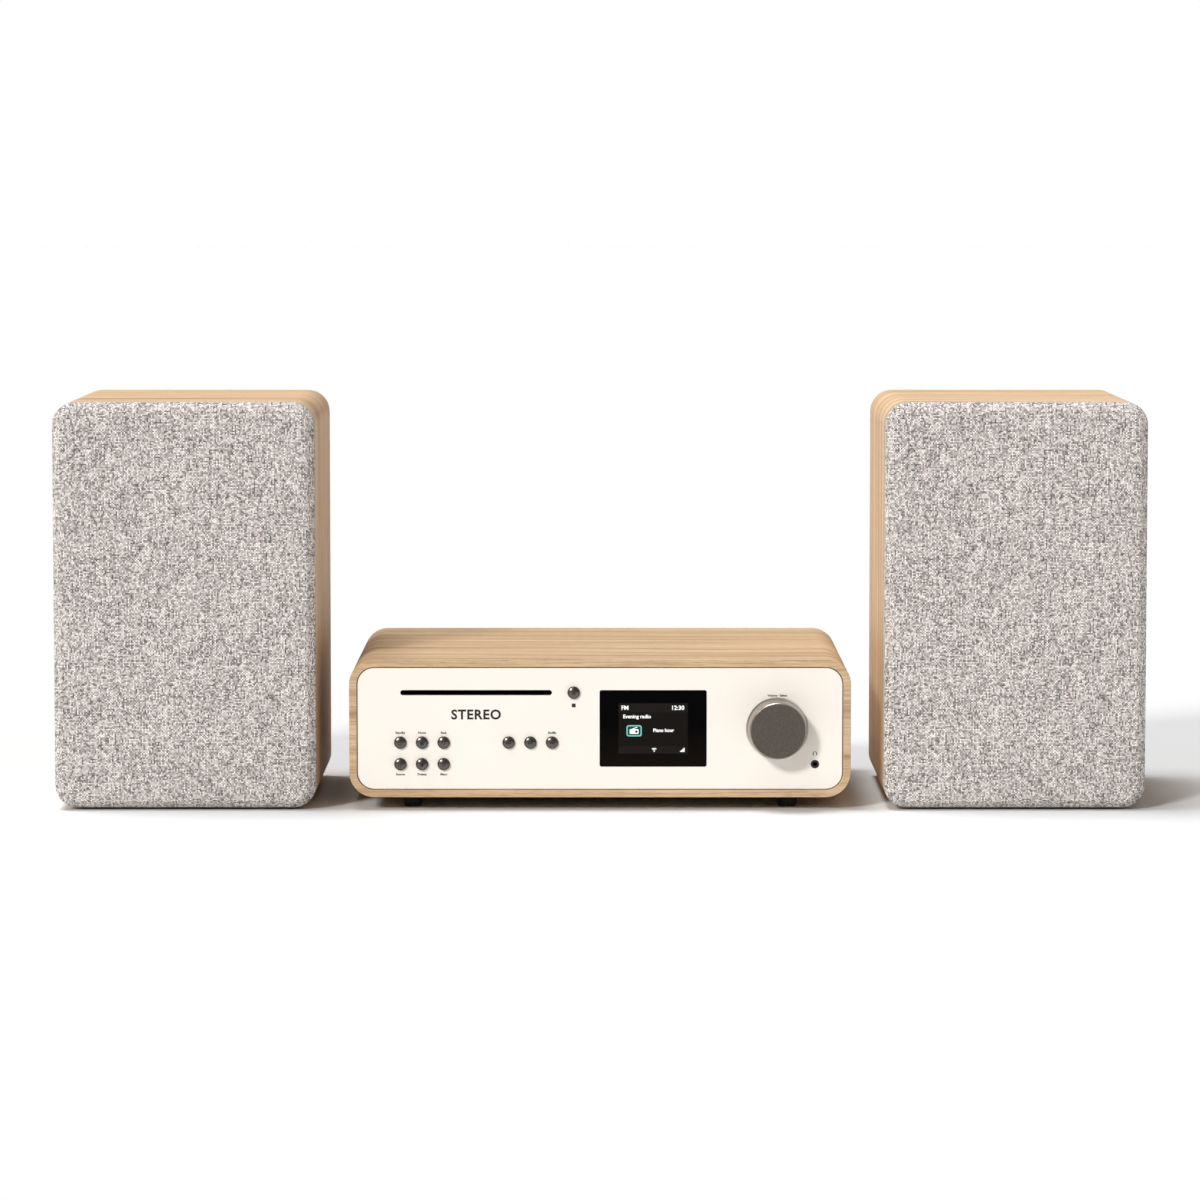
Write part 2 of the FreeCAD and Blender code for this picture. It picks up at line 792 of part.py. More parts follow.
def cd_chassis():
    """The fixed frame: a deck on legs with side walls, the roller's guide and the pivot blocks."""
    y = (deck_front, deck_end)
    full = (slot_x - deck_half_width, slot_x + deck_half_width)
    wall_top = clamp_pivot_z + 3.5
    deck = box(full, y, (deck_bottom, deck_top))
    opening = traverse_half_width + traverse_clearance
    deck = deck.cut(
        box(
            (slot_x - opening, slot_x + opening),
            (traverse_front - traverse_clearance, traverse_end + traverse_clearance),
            (deck_bottom, deck_top),
        )
    )
    walls = [box(x, y, (deck_bottom, wall_top)) for x in across(deck_half_width, deck_half_width + deck_wall)]
    guide_z = slot_z + slot_height / 2
    guide = box(full, (deck_front, roller_y + 6), (guide_z, guide_z + 1.5))
    bridge = box(full, (clamp_pivot_y + 6, clamp_pivot_y + 8), (deck_top + 2, wall_top))
    legs = [rod_z(px, py, tray_top, deck_bottom, deck_leg_radius) for px, py in leg_places()]
    blocks = [
        box(x, (traverse_pivot_y - 4, traverse_pivot_y + 4), (traverse_pivot_z - 3.5, deck_bottom))
        for x in across(opening, opening + 6)
    ]
    frame = joined([deck, guide, bridge] + walls + legs + blocks)
    ends = (full[0] - deck_wall, full[1] + deck_wall)
    roller_window = box(
        (slot_x - disc_radius - 3, slot_x + disc_radius + 3),
        (roller_y - roller_radius - 2, roller_window_end),
        (deck_bottom, deck_top),
    )
    holes = [
        rod_x(roller_y, roller_z, *ends, roller_shaft_radius + running_clearance),
        rod_x(clamp_pivot_y, clamp_pivot_z, *ends, pivot_radius + running_clearance),
        rod_x(traverse_pivot_y, traverse_pivot_z, *ends, pivot_radius + running_clearance),
    ]
    return cut_all(frame, [roller_window] + holes)


def traverse_deck():
    """The tilting deck: its pivots, the blocks and rods that carry the sled, and the spindle motor's case."""
    x = (slot_x - traverse_half_width, slot_x + traverse_half_width)
    plate = box(x, (traverse_front, traverse_end), (deck_bottom, deck_top))
    ears = [
        box(span, (traverse_pivot_y - 4, traverse_pivot_y + 4), (traverse_pivot_z - 3.5, deck_bottom))
        for span in across(traverse_half_width - 6, traverse_half_width)
    ]
    pin_end = traverse_half_width + traverse_clearance + 6
    pins = [
        rod_x(traverse_pivot_y, traverse_pivot_z, *span, pivot_radius)
        for span in across(traverse_half_width, pin_end)
    ]
    rod_x0, rod_x1 = slot_x - rod_offset - 5, slot_x + lead_screw_offset + 5
    block_z = (sled_z - sled_height / 2, deck_bottom)
    blocks = [box((rod_x0, rod_x1), (y, y + 3), block_z) for y in (rod_start - 3, rod_end)]
    motor_z = (deck_bottom - motor_height, deck_bottom)
    blocks[0] = blocks[0].cut(rod_z(slot_x, disc_y, *motor_z, motor_radius + 0.5))
    plate = joined([plate] + ears + pins + blocks)
    lens_y = sled_front + lens_set_back
    travel = (lens_y - 5, lens_y + sled_travel + 5)
    lens_window = box((slot_x - 8, slot_x + 8), travel, (deck_bottom, deck_top))
    rods = [rod_y(slot_x + s * rod_offset, sled_z, rod_start - 3, rod_end + 3, rod_radius) for s in (-1, 1)]
    screw_hole = rod_y(
        slot_x + lead_screw_offset, sled_z, rod_start - 3, rod_end + 3, lead_screw_radius + running_clearance
    )
    spindle_hole = rod_z(slot_x, disc_y, deck_bottom, deck_top, 3.0)
    plate = cut_all(plate, [lens_window, screw_hole, spindle_hole] + rods)
    motor = rod_z(slot_x, disc_y, *motor_z, motor_radius)
    motor = motor.cut(rod_z(slot_x, disc_y, *motor_z, spindle_radius + running_clearance))
    return [plate, motor] + rods


def loading_roller():
    """A rubber roller, waisted so that it grips only the disc's rim, on its steel shaft."""
    half = disc_radius + 1.0
    reach = deck_half_width + deck_wall
    shaft = rod_x(roller_y, roller_z, slot_x - reach, slot_x + reach, roller_shaft_radius)
    waist = Vector(slot_x, roller_y, roller_z)
    end_radius = roller_radius - 0.2
    cones = [Part.makeCone(roller_waist, end_radius, half, waist, Vector(s, 0, 0)) for s in (-1, 1)]
    return joined([shaft] + cones)


def turntable():
    """The platter with its centring hub and the spindle that turns it."""
    top = disc_bottom
    platter = rod_z(slot_x, disc_y, top - turntable_thick, top, turntable_radius)
    hub = Part.makeCone(hub_radius, hub_radius - 1.2, hub_height, Vector(slot_x, disc_y, top))
    spindle = rod_z(slot_x, disc_y, deck_bottom - motor_height + 0.5, top, spindle_radius)
    return joined([platter, hub, spindle])


def clamp_arm():
    """The arm that presses the clamp puck on a disc. The puck is recessed round the turntable's hub."""
    arm_z = (clamp_pivot_z, clamp_pivot_z + clamp_arm_thick)
    inside = deck_half_width - 0.5
    arm = box((slot_x - 16, slot_x + 16), (disc_y - 8, clamp_pivot_y + 2), arm_z)
    cross = box((slot_x - inside, slot_x + inside), (clamp_pivot_y - 5, clamp_pivot_y + 2.5), arm_z)
    reach = deck_half_width + deck_wall
    pivot = rod_x(clamp_pivot_y, clamp_pivot_z, slot_x - reach, slot_x + reach, pivot_radius)
    puck_bottom = disc_bottom + disc_thick + clamp_gap
    recess_top = disc_bottom + hub_height + 0.4
    puck = rod_z(slot_x, disc_y, puck_bottom, clamp_pivot_z, clamp_puck_radius)
    puck = puck.cut(rod_z(slot_x, disc_y, puck_bottom, recess_top, hub_radius + 1))
    return [joined([arm, cross, pivot]), puck]


def laser_sled():
    """The optical pickup: a body on two rods, a nut on the lead screw, and the lens above."""
    x0, x1 = slot_x - rod_offset - 4, slot_x + rod_offset + 4
    z = (sled_z - sled_height / 2 + 1, sled_z + sled_height / 2 - 0.2)
    body = box((x0, x1), (sled_front, sled_front + sled_length), z)
    nut_x = (x1 - 1, slot_x + lead_screw_offset + 4)
    nut = box(nut_x, (sled_front + 6, sled_front + 14), (sled_z - 3, sled_z + 3))
    lens_y = sled_front + lens_set_back
    lens = rod_z(slot_x, lens_y, z[1], disc_bottom - 2.0, 3.5)
    sled = joined([body, nut, lens])
    y = (sled_front, sled_front + sled_length)
    bore = rod_radius + running_clearance
    bores = [rod_y(slot_x + s * rod_offset, sled_z, *y, bore) for s in (-1, 1)]
    bores.append(rod_y(slot_x + lead_screw_offset, sled_z, *y, lead_screw_radius + running_clearance))
    return cut_all(sled, bores)


def lead_screw():
    screw = rod_y(slot_x + lead_screw_offset, sled_z, rod_start - 3, rod_end + 3, lead_screw_radius)
    wheel = rod_y(slot_x + lead_screw_offset, sled_z, rod_end + 3.4, rod_end + 6.4, 5.0)
    neck = rod_y(slot_x + lead_screw_offset, sled_z, rod_end + 3, rod_end + 3.4, lead_screw_radius)
    return joined([screw, neck, wheel])


# ---------------------------------------------------------------- speakers
def speaker_cabinet(x):
    """The veneered wrap of a speaker, open at the front and back until its panels are in."""
    inner = speaker_radius - cabinet_wall
    outer = rounded_slab(
        speaker_width, speaker_height, speaker_radius, x, speaker_mid, cabinet_front, speaker_back
    )
    hollow = rounded_slab(
        speaker_width - 2 * cabinet_wall,
        speaker_height - 2 * cabinet_wall,
        inner,
        x,
        speaker_mid,
        cabinet_front,
        speaker_back,
    )
    cabinet = outer.cut(hollow)
    return cabinet.makeFillet(min(cabinet_edge, cabinet_wall / 3), edges_at(cabinet, speaker_back))


def speaker_insert(x, y0, y1):
    """A panel glued in all round inside the cabinet's wrap."""
    return rounded_slab(
        speaker_width - 2 * cabinet_wall,
        speaker_height - 2 * cabinet_wall,
        speaker_radius - cabinet_wall,
        x,
        speaker_mid,
        y0,
        y1,
    )


def peg_places(x):
    dx = speaker_width / 2 - peg_inset
    dz = speaker_height / 2 - peg_inset
    return [(x + sx * dx, speaker_mid + sz * dz) for sx in (-1, 1) for sz in (-1, 1)]


def basket_radius():
    """The outer radius of the basket where it meets the flange."""
    return surround_outer - surround_roll + 1.5


def speaker_baffle(x):
    y = cabinet_front
    holes = [
        rod_y(x, woofer_z, y, y + woofer_flange_thick, woofer_flange_radius + 0.3),
        rod_y(x, woofer_z, y, baffle_back, basket_radius() + 0.8),
        rod_y(x, tweeter_z, y, y + tweeter_thick, tweeter_radius + 0.3),
        rod_y(x, tweeter_z, y, baffle_back, tweeter_radius * 0.7 + 0.5),
    ]
    holes += [rod_y(px, pz, y, y + peg_length + 2, peg_radius + peg_clearance) for px, pz in peg_places(x)]
    return cut_all(speaker_insert(x, y, baffle_back), holes)


def speaker_back_panel(x):
    panel = speaker_insert(x, back_inside, back_face)
    rebate = box(
        (x - terminal_width / 2 - 0.2, x + terminal_width / 2 + 0.2),
        (back_face - 3.0, back_face),
        (terminal_z - terminal_height / 2 - 0.2, terminal_z + terminal_height / 2 + 0.2),
    )
    opening = box(
        (x - terminal_width / 2 + 8, x + terminal_width / 2 - 8),
        (back_inside, back_face),
        (terminal_z - terminal_height / 2 + 8, terminal_z + terminal_height / 2 - 8),
    )
    port = rod_y(x, port_z, back_inside, back_face, port_radius + port_wall + 0.2)
    port_seat = rod_y(x, port_z, back_face - 3.0, back_face, port_flange_radius + 0.2)
    return cut_all(panel, [rebate, opening, port, port_seat])


def grille_shell(x, inset, front, back):
    """The cover's outer form at a given distance inside its surface: a slab with a sloped front edge."""
    slab = rounded_slab(
        speaker_width - 2 * inset,
        speaker_height - 2 * inset,
        speaker_radius - inset,
        x,
        speaker_mid,
        front,
        back,
    )
    slope = grille_chamfer - inset * (2 - math.sqrt(2))
    return slab.makeChamfer(slope, edges_at(slab, front))


def grille_frame(x):
    """The rigid frame under the cloth, with a cross bar and the pegs that hold it on the baffle."""
    frame = grille_shell(x, cloth_thick, speaker_front + cloth_thick, cabinet_front)
    opening = rounded_slab(
        speaker_width - 2 * grille_rim,
        speaker_height - 2 * grille_rim,
        12.0,
        x,
        speaker_mid,
        speaker_front,
        cabinet_front,
    )
    bar = box(
        (x - speaker_width / 2 + grille_rim - 2, x + speaker_width / 2 - grille_rim + 2),
        (speaker_front + 3.0, speaker_front + 7.0),
        (bar_z - grille_bar_height / 2, bar_z + grille_bar_height / 2),
    )
    pegs = [rod_y(px, pz, cabinet_front, cabinet_front + peg_length, peg_radius) for px, pz in peg_places(x)]
    return joined([frame.cut(opening), bar] + pegs)


def grille_cloth(x):
    """The cloth stretched over the frame: its front, its sloped edge and its sides."""
    outer = grille_shell(x, 0, speaker_front, cabinet_front)
    inner = grille_shell(x, cloth_thick, speaker_front + cloth_thick, cabinet_front)
    return outer.cut(inner)


def woofer_frame(x):
    """The pressed basket with its windows, and behind it the magnet, plates and pole."""
    z = woofer_z
    y = cabinet_front
    seat = woofer_flange_thick - 1.0
    top = basket_radius()
    neck = magnet_radius - 5
    ledge = basket_depth - 6
    basket = turned_y(
        [
            (surround_outer + 0.4, 0),
            (woofer_flange_radius, 0),
            (woofer_flange_radius, woofer_flange_thick),
            (top, woofer_flange_thick),
            (neck, basket_depth),
            (neck, basket_depth + 3),
            (coil_radius + 1, basket_depth + 3),
            (coil_radius + 1, basket_depth),
            (neck - 2, basket_depth),
            (neck - 1, ledge),
            (top - 2, woofer_flange_thick),
            (top - 2, seat),
            (surround_outer + 0.4, seat),
        ],
        x,
        z,
        y,
    )
    windows = []
    for i in range(6):
        block = box((x - 11, x + 11), (y + 12, y + ledge - 3), (z + neck - 14, z + top + 5))
        block.rotate(Vector(x, y, z), Vector(0, 1, 0), 30 + 60 * i)
        windows.append(block)
    basket = cut_all(basket, windows)
    magnet_front = basket_depth + 3
    magnet_back = magnet_front + magnet_thick
    pole = coil_radius - 1.5
    magnet = turned_y(
        [
            (coil_radius + 1, magnet_front),
            (magnet_radius, magnet_front),
            (magnet_radius, magnet_back),
            (magnet_radius - 6, magnet_back + 5),
            (0, magnet_back + 5),
            (0, magnet_front),
            (pole, magnet_front),
            (pole, magnet_back),
            (coil_radius + 1, magnet_back),
        ],
        x,
        z,
        y,
    )
    return [basket, magnet]


def woofer_cone(x):
    """The cone, its dust cap and the voice coil former behind it."""
    z = woofer_z
    y = cabinet_front
    lip = woofer_flange_thick - 1.0
    apex = lip + cone_depth
    former_end = basket_depth + 3 + magnet_thick - cone_travel - former_clearance
    cone = turned_y(
        [
            (cone_radius, lip),
            (cone_radius, lip + cone_thick),
            (coil_radius, apex + cone_thick + 0.5),
            (coil_radius, apex),
        ],
        x,
        z,
        y,
    )
    former = turned_y(
        [
            (coil_radius, apex - 1),
            (coil_radius, former_end),
            (coil_radius - 0.8, former_end),
            (coil_radius - 0.8, apex - 1),
        ],
        x,
        z,
        y,
    )
    rim = coil_radius + 4.5
    rim_depth = apex - (rim - coil_radius) * cone_depth / (cone_radius - coil_radius)
    rise = 6.0
    sphere = (rim * rim + rise * rise) / (2 * rise)
    half = rim / 2
    bulge = math.sqrt(sphere * sphere - half * half) - (sphere - rise)
    t = cone_thick
    cap = turned_arc_y(
        [
            [(0, rim_depth - rise), (half, rim_depth - bulge), (rim, rim_depth)],
            [(rim, rim_depth), (rim, rim_depth + t)],
            [(rim, rim_depth + t), (half, rim_depth - bulge + t), (0, rim_depth - rise + t)],
            [(0, rim_depth - rise + t), (0, rim_depth - rise)],
        ],
        x,
        z,
        y,
    )
    return joined([cone, former, cap])


def woofer_suspension(x):
    """The rubber surround at the cone's edge and the flat spider at its neck."""
    z = woofer_z
    y = cabinet_front
    seat = woofer_flange_thick - 1.0
    t = 0.8
    outer = surround_outer
    roll_out = outer - surround_roll
    roll_in = cone_radius
    middle = (roll_out + roll_in) / 2
    big = (roll_out - roll_in) / 2
    small = big - t
    edges = [
        [(outer, seat), (outer, seat - t)],
        [(outer, seat - t), (roll_out, seat - t)],
        [(roll_out, seat - t), (middle, seat - t - big), (roll_in, seat - t)],
        [(roll_in, seat - t), (roll_in - 3, seat - t)],
        [(roll_in - 3, seat - t), (roll_in - 3, seat - 0.05)],
        [(roll_in - 3, seat - 0.05), (roll_in + t, seat - 0.05)],
        [(roll_in + t, seat - 0.05), (middle, seat - 0.05 - small), (roll_out - t, seat - 0.05)],
        [(roll_out - t, seat - 0.05), (roll_out - t, seat)],
        [(roll_out - t, seat), (outer, seat)],
    ]
    surround = turned_arc_y(edges, x, z, y)
    ledge = basket_depth - 6
    spider = turned_y(
        [
            (coil_radius + 0.05, ledge - 4.6),
            (magnet_radius - 8, ledge - 4.6),
            (magnet_radius - 8, ledge - 4.0),
            (coil_radius + 0.05, ledge - 4.0),
        ],
        x,
        z,
        y,
    )
    return [surround, spider]


def tweeter(x):
    """The faceplate with its flared mouth, the soft dome, and the magnet behind."""
    z = tweeter_z
    body_radius = tweeter_radius * 0.7
    mouth = dome_radius + 2.5
    body = turned_y(
        [
            (mouth, 2.4),
            (mouth + 9, 0),
            (tweeter_radius, 0),
            (tweeter_radius, tweeter_thick),
            (body_radius, tweeter_thick),
            (body_radius, tweeter_thick + 22),
            (0, tweeter_thick + 22),
            (0, tweeter_thick),
            (mouth, tweeter_thick),
        ],
        x,
        z,
        cabinet_front,
    )
    rise = dome_radius * 0.45
    base = tweeter_thick - 0.6
    sphere = (dome_radius * dome_radius + rise * rise) / (2 * rise)
    half = dome_radius / 2
    bulge = math.sqrt(sphere * sphere - half * half) - (sphere - rise)
    dome = turned_arc_y(
        [
            [(0, base - rise), (half, base - bulge), (dome_radius, base)],
            [(dome_radius, base), (mouth, base)],
            [(mouth, base), (mouth, tweeter_thick)],
            [(mouth, tweeter_thick), (0, tweeter_thick)],
            [(0, tweeter_thick), (0, base - rise)],
        ],
        x,
        z,
        cabinet_front,
    )
    return [body, dome]


def port_tube(x):
    """The bass port: a flanged tube through the back panel."""
    z = port_z
    outer = port_radius + port_wall
    flare = 5.0
    return turned_y(
        [
            (port_radius, -port_length),
            (outer, -port_length),
            (outer, -3.0),
            (port_flange_radius, -3.0),
            (port_flange_radius, 0),
            (port_radius + flare, 0),
            (port_radius, -flare),
        ],
        x,
        z,
        back_face,
    )


def terminal_plate(x):
    """The terminal plate with its two 4 mm sockets."""
    z = terminal_z
    plate = box(
        (x - terminal_width / 2, x + terminal_width / 2),
        (back_face - 3.0, back_face),
        (z - terminal_height / 2, z + terminal_height / 2),
    )
    places = [x - speaker_socket_pitch / 2, x + speaker_socket_pitch / 2]
    plate = cut_all(plate, [rod_y(px, z, back_face - 3.0, back_face, 4.5) for px in places])
    return [plate] + [speaker_socket(px, z, back_face) for px in places]


def crossover(x):
    """The filter board inside the back panel: two coils, two capacitors and a resistor."""
    z0 = speaker_bottom + cabinet_wall + crossover_lift
    y = back_inside - 8
    board = box((x - 60, x + 60), (y, y + board_thick), (z0, z0 + crossover_height))
    mid = z0 + crossover_height / 2
    corners = [(x + sx * 54, mid + sz * (crossover_height / 2 - 6)) for sx in (-1, 1) for sz in (-1, 1)]
    stands = [rod_y(px, pz, y + board_thick, back_inside, 3.0) for px, pz in corners]
    coils = [rod_y(px, mid, y - 16, y, 14.0) for px in (x - 36, x + 2)]
    cores = [rod_y(px, mid, y - 16, y, 6.0) for px in (x - 36, x + 2)]
    cans = [box((x + 24, x + 52), (y - 13, y), (z, z + 12)) for z in (mid - 16, mid + 3)]
    return joined([board] + stands + cans + [c.cut(h) for c, h in zip(coils, cores)])


def speaker_feet(x):
    ys = (cabinet_front + pad_inset, speaker_back - pad_inset)
    out = speaker_width / 2 - pad_inset
    return [rod_z(px, y, 0, pad_height, pad_radius) for px in (x - out, x + out) for y in ys]


# ---------------------------------------------------------------- the whole system
def receiver_nodes():
    nodes = {
        "case_wrap": case_wrap(),
        "front_panel": front_panel(),
        "display_window": display_window(),
        "slot_throat": slot_throat(),
        "control_board": control_board(),
        "volume_knob": volume_knob(),
        "encoder_shaft": encoder_shaft(),
        "encoder_rotor": encoder_rotor(),
        "headphone_jack": headphone_jack(),
        "base_tray": base_tray(),
        "rear_panel": rear_panel(),
        "rear_sockets": rear_sockets(),
        "main_board": main_board(),
        "heat_sink": heat_sink(),
        "power_supply": power_supply(),
        "receiver_feet": [receiver_foot(x, y) for x, y in foot_places],
        "case_screws": case_screws(),
        "cd_chassis": cd_chassis(),
        "traverse_deck": traverse_deck(),
        "loading_roller": loading_roller(),
        "turntable": turntable(),
        "clamp_arm": clamp_arm(),
        "laser_sled": laser_sled(),
        "lead_screw": lead_screw(),
    }
    for name, place in button_places.items():
        nodes[name] = button(place)
    return nodes


def speaker_nodes(side):
    x = sides[side] * speaker_offset
    pieces = {
        "cabinet": speaker_cabinet(x),
        "baffle": speaker_baffle(x),
        "back_panel": speaker_back_panel(x),
        "grille_frame": grille_frame(x),
        "grille_cloth": grille_cloth(x),
        "woofer_frame": woofer_frame(x),
        "woofer_cone": woofer_cone(x),
        "woofer_suspension": woofer_suspension(x),
        "tweeter": tweeter(x),
        "port_tube": port_tube(x),
        "terminal_plate": terminal_plate(x),
        "crossover": crossover(x),
        "feet": speaker_feet(x),
    }
    return {side + "_" + name: shape for name, shape in pieces.items()}


def save(name, shape):
    """Writes one node's solids to a STEP file, after checking that each is closed and valid."""
    parts = shape if isinstance(shape, list) else [shape]
    solids = [solid for part in parts for solid in part.Solids]
    for solid in solids:
        if not solid.isValid() or solid.Volume <= 0:
            raise ValueError(name + " has a solid that isn't valid")
    shape = solids[0] if len(solids) == 1 else Part.makeCompound(solids)
    shape.exportStep(os.path.join(parts_folder, name + ".step"))


def main():
    os.makedirs(parts_folder, exist_ok=True)
    nodes = receiver_nodes()
    for side in sides:
        nodes.update(speaker_nodes(side))
    for name, shape in nodes.items():
        save(name, shape)
    print(len(nodes), "nodes written")


if __name__ == "__main__":
    main()
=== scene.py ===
from math import atan2, cos, hypot, pi, radians, sin, sqrt

import bmesh
import bpy
from mathutils import Euler, Matrix, Vector


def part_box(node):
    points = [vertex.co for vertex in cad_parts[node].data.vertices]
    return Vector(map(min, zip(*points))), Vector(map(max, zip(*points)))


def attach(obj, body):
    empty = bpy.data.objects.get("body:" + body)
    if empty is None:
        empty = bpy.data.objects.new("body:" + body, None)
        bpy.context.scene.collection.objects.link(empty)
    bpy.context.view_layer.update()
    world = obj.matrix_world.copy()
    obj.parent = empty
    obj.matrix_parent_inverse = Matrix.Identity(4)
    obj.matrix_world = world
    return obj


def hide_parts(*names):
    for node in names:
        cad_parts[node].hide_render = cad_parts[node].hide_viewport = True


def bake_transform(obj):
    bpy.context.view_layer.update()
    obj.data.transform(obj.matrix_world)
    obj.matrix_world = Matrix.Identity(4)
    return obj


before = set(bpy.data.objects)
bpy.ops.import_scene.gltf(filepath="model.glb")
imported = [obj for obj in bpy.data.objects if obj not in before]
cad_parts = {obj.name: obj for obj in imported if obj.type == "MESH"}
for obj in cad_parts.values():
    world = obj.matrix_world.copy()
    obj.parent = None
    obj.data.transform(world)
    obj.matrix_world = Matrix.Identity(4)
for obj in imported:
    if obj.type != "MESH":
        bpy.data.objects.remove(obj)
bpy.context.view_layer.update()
scene = bpy.context.scene
mm = 0.001
sides = ("left", "right")


def inMm(**sizes):
    # sizes given in millimetres, kept in metres
    return {key: tuple(part * mm for part in size) if isinstance(size, tuple) else size * mm
            for key, size in sizes.items()}


def pointsOf(faces):
    return list({p for f in faces for p in f.verts})


def middle(nodeName):
    low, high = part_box(nodeName)
    return (low + high) / 2


def middleAt(low, high, y):
    return Vector(((low.x + high.x) / 2, y, (low.z + high.z) / 2))


print("stage: camera")
cameraValues = {"lens": 150.15, "distance": 4.165, "height": 0.537, "pitch": 4.94}


def makeCamera(v):
    data = bpy.data.cameras.new("camera")
    data.lens = v["lens"]
    data.sensor_width = 36
    data.clip_end = 100
    camera = bpy.data.objects.new("camera", data)
    scene.collection.objects.link(camera)
    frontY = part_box("case_wrap")[0].y
    camera.location = (0, frontY - v["distance"], v["height"])
    camera.rotation_euler = Euler((radians(90 - v["pitch"]), 0, 0))
    scene.camera = camera


makeCamera(cameraValues)

# ---- small tools for node trees


def startMaterial(name):
    material = bpy.data.materials.new(name)
    material.use_nodes = True
    tree = material.node_tree
    return material, tree, tree.nodes["Principled BSDF"]


def node(tree, kind, settings=None, **inputs):
    made = tree.nodes.new("ShaderNode" + kind)
    for key, value in (settings or {}).items():
        setattr(made, key, value)
    fill(tree, made, **inputs)
    return made


def fill(tree, made, **inputs):
    for key, value in inputs.items():
        feed(tree, made.inputs[key.replace("_", " ")], value)


def feed(tree, socket, value):
    if isinstance(value, bpy.types.NodeSocket):
        tree.links.new(value, socket)
    else:
        socket.default_value = value


def sums(tree, operation, *values):
    made = tree.nodes.new("ShaderNodeMath")
    made.operation = operation
    for socket, value in zip(made.inputs, values):
        feed(tree, socket, value)
    return made.outputs[0]


def times(tree, first, second):
    return sums(tree, "MULTIPLY", first, second)


def plus(tree, first, second):
    return sums(tree, "ADD", first, second)


def minus(tree, first, second):
    return sums(tree, "SUBTRACT", first, second)


def wave(tree, value):
    # one hump for each whole step of value
    return sums(tree, "ABSOLUTE", sums(tree, "SINE", times(tree, value, pi)))


def vector(tree, x, y, z):
    return node(tree, "CombineXYZ", X=x, Y=y, Z=z).outputs[0]


def ramp(tree, value, *stops):
    made = node(tree, "ValToRGB", Fac=value)
    points = made.color_ramp.elements
    while len(points) < len(stops):
        points.new(0.5)
    for point, (at, colour) in zip(points, stops):
        point.position = at
        point.color = (*colour, 1)
    return made.outputs["Color"]


def grey(amount):
    return (amount, amount, amount)


def spread(tree, value, low, high):
    # greys between low and high over the middle of a noise
    return ramp(tree, value, (0.3, grey(low)), (0.7, grey(high)))


def shades(tree, value, colour, low, high, start=0.3, end=0.7):
    # a colour between two shares of itself
    return ramp(tree, value, (start, tuple(c * low for c in colour)), (end, tuple(c * high for c in colour)))


def noise(tree, place, scale, detail=2.0, roughness=0.5, distortion=0.0):
    made = node(
        tree, "TexNoise", Vector=place, Scale=scale, Detail=detail, Roughness=roughness, Distortion=distortion
    )
    return made.outputs["Fac"]


def mixColour(tree, share, first, second, way="MIX"):
    made = tree.nodes.new("ShaderNodeMix")
    made.data_type = "RGBA"
    made.blend_type = way
    feed(tree, made.inputs["Factor"], share)
    feed(tree, made.inputs[6], first if isinstance(first, bpy.types.NodeSocket) else (*first, 1))
    feed(tree, made.inputs[7], second if isinstance(second, bpy.types.NodeSocket) else (*second, 1))
    return made.outputs[2]


def tinted(tree, colour, shade):
    return mixColour(tree, 1.0, colour, shade, "MULTIPLY")


def stretched(tree, source, scale):
    return node(tree, "Mapping", {"vector_type": "POINT"}, Vector=source, Scale=scale).outputs[0]


def bump(tree, shader, height, strength, distance):
    made = node(tree, "Bump", Strength=strength, Distance=distance, Height=height)
    tree.links.new(made.outputs["Normal"], shader.inputs["Normal"])


def objectPlace(tree):
    return node(tree, "TexCoord").outputs["Object"]


# ---- materials
print("stage: materials")

oakValues = {
    "light": (0.86, 0.625, 0.40),
    "middle": (0.74, 0.50, 0.29),
    "streak": (0.40, 0.235, 0.125),
    "pore": (0.33, 0.195, 0.11),
    "poreDepth": 0.45,
    "ringsPerMetre": 27.0,
    "ringWander": 2.6,
    "ringRipple": 0.22,
    "ringWidth": 0.42,
    "ringShare": (0.22, 0.85),
    # how fast each part of the figure changes, along and across the grain
    "grain": {"wander": (1.6, 11), "ripple": (6, 70), "bands": (1.3, 34), "streaks": (5, 300),
              "fibres": (26, 1500), "pores": (80, 2300), "patches": (3.0, 25)},
}


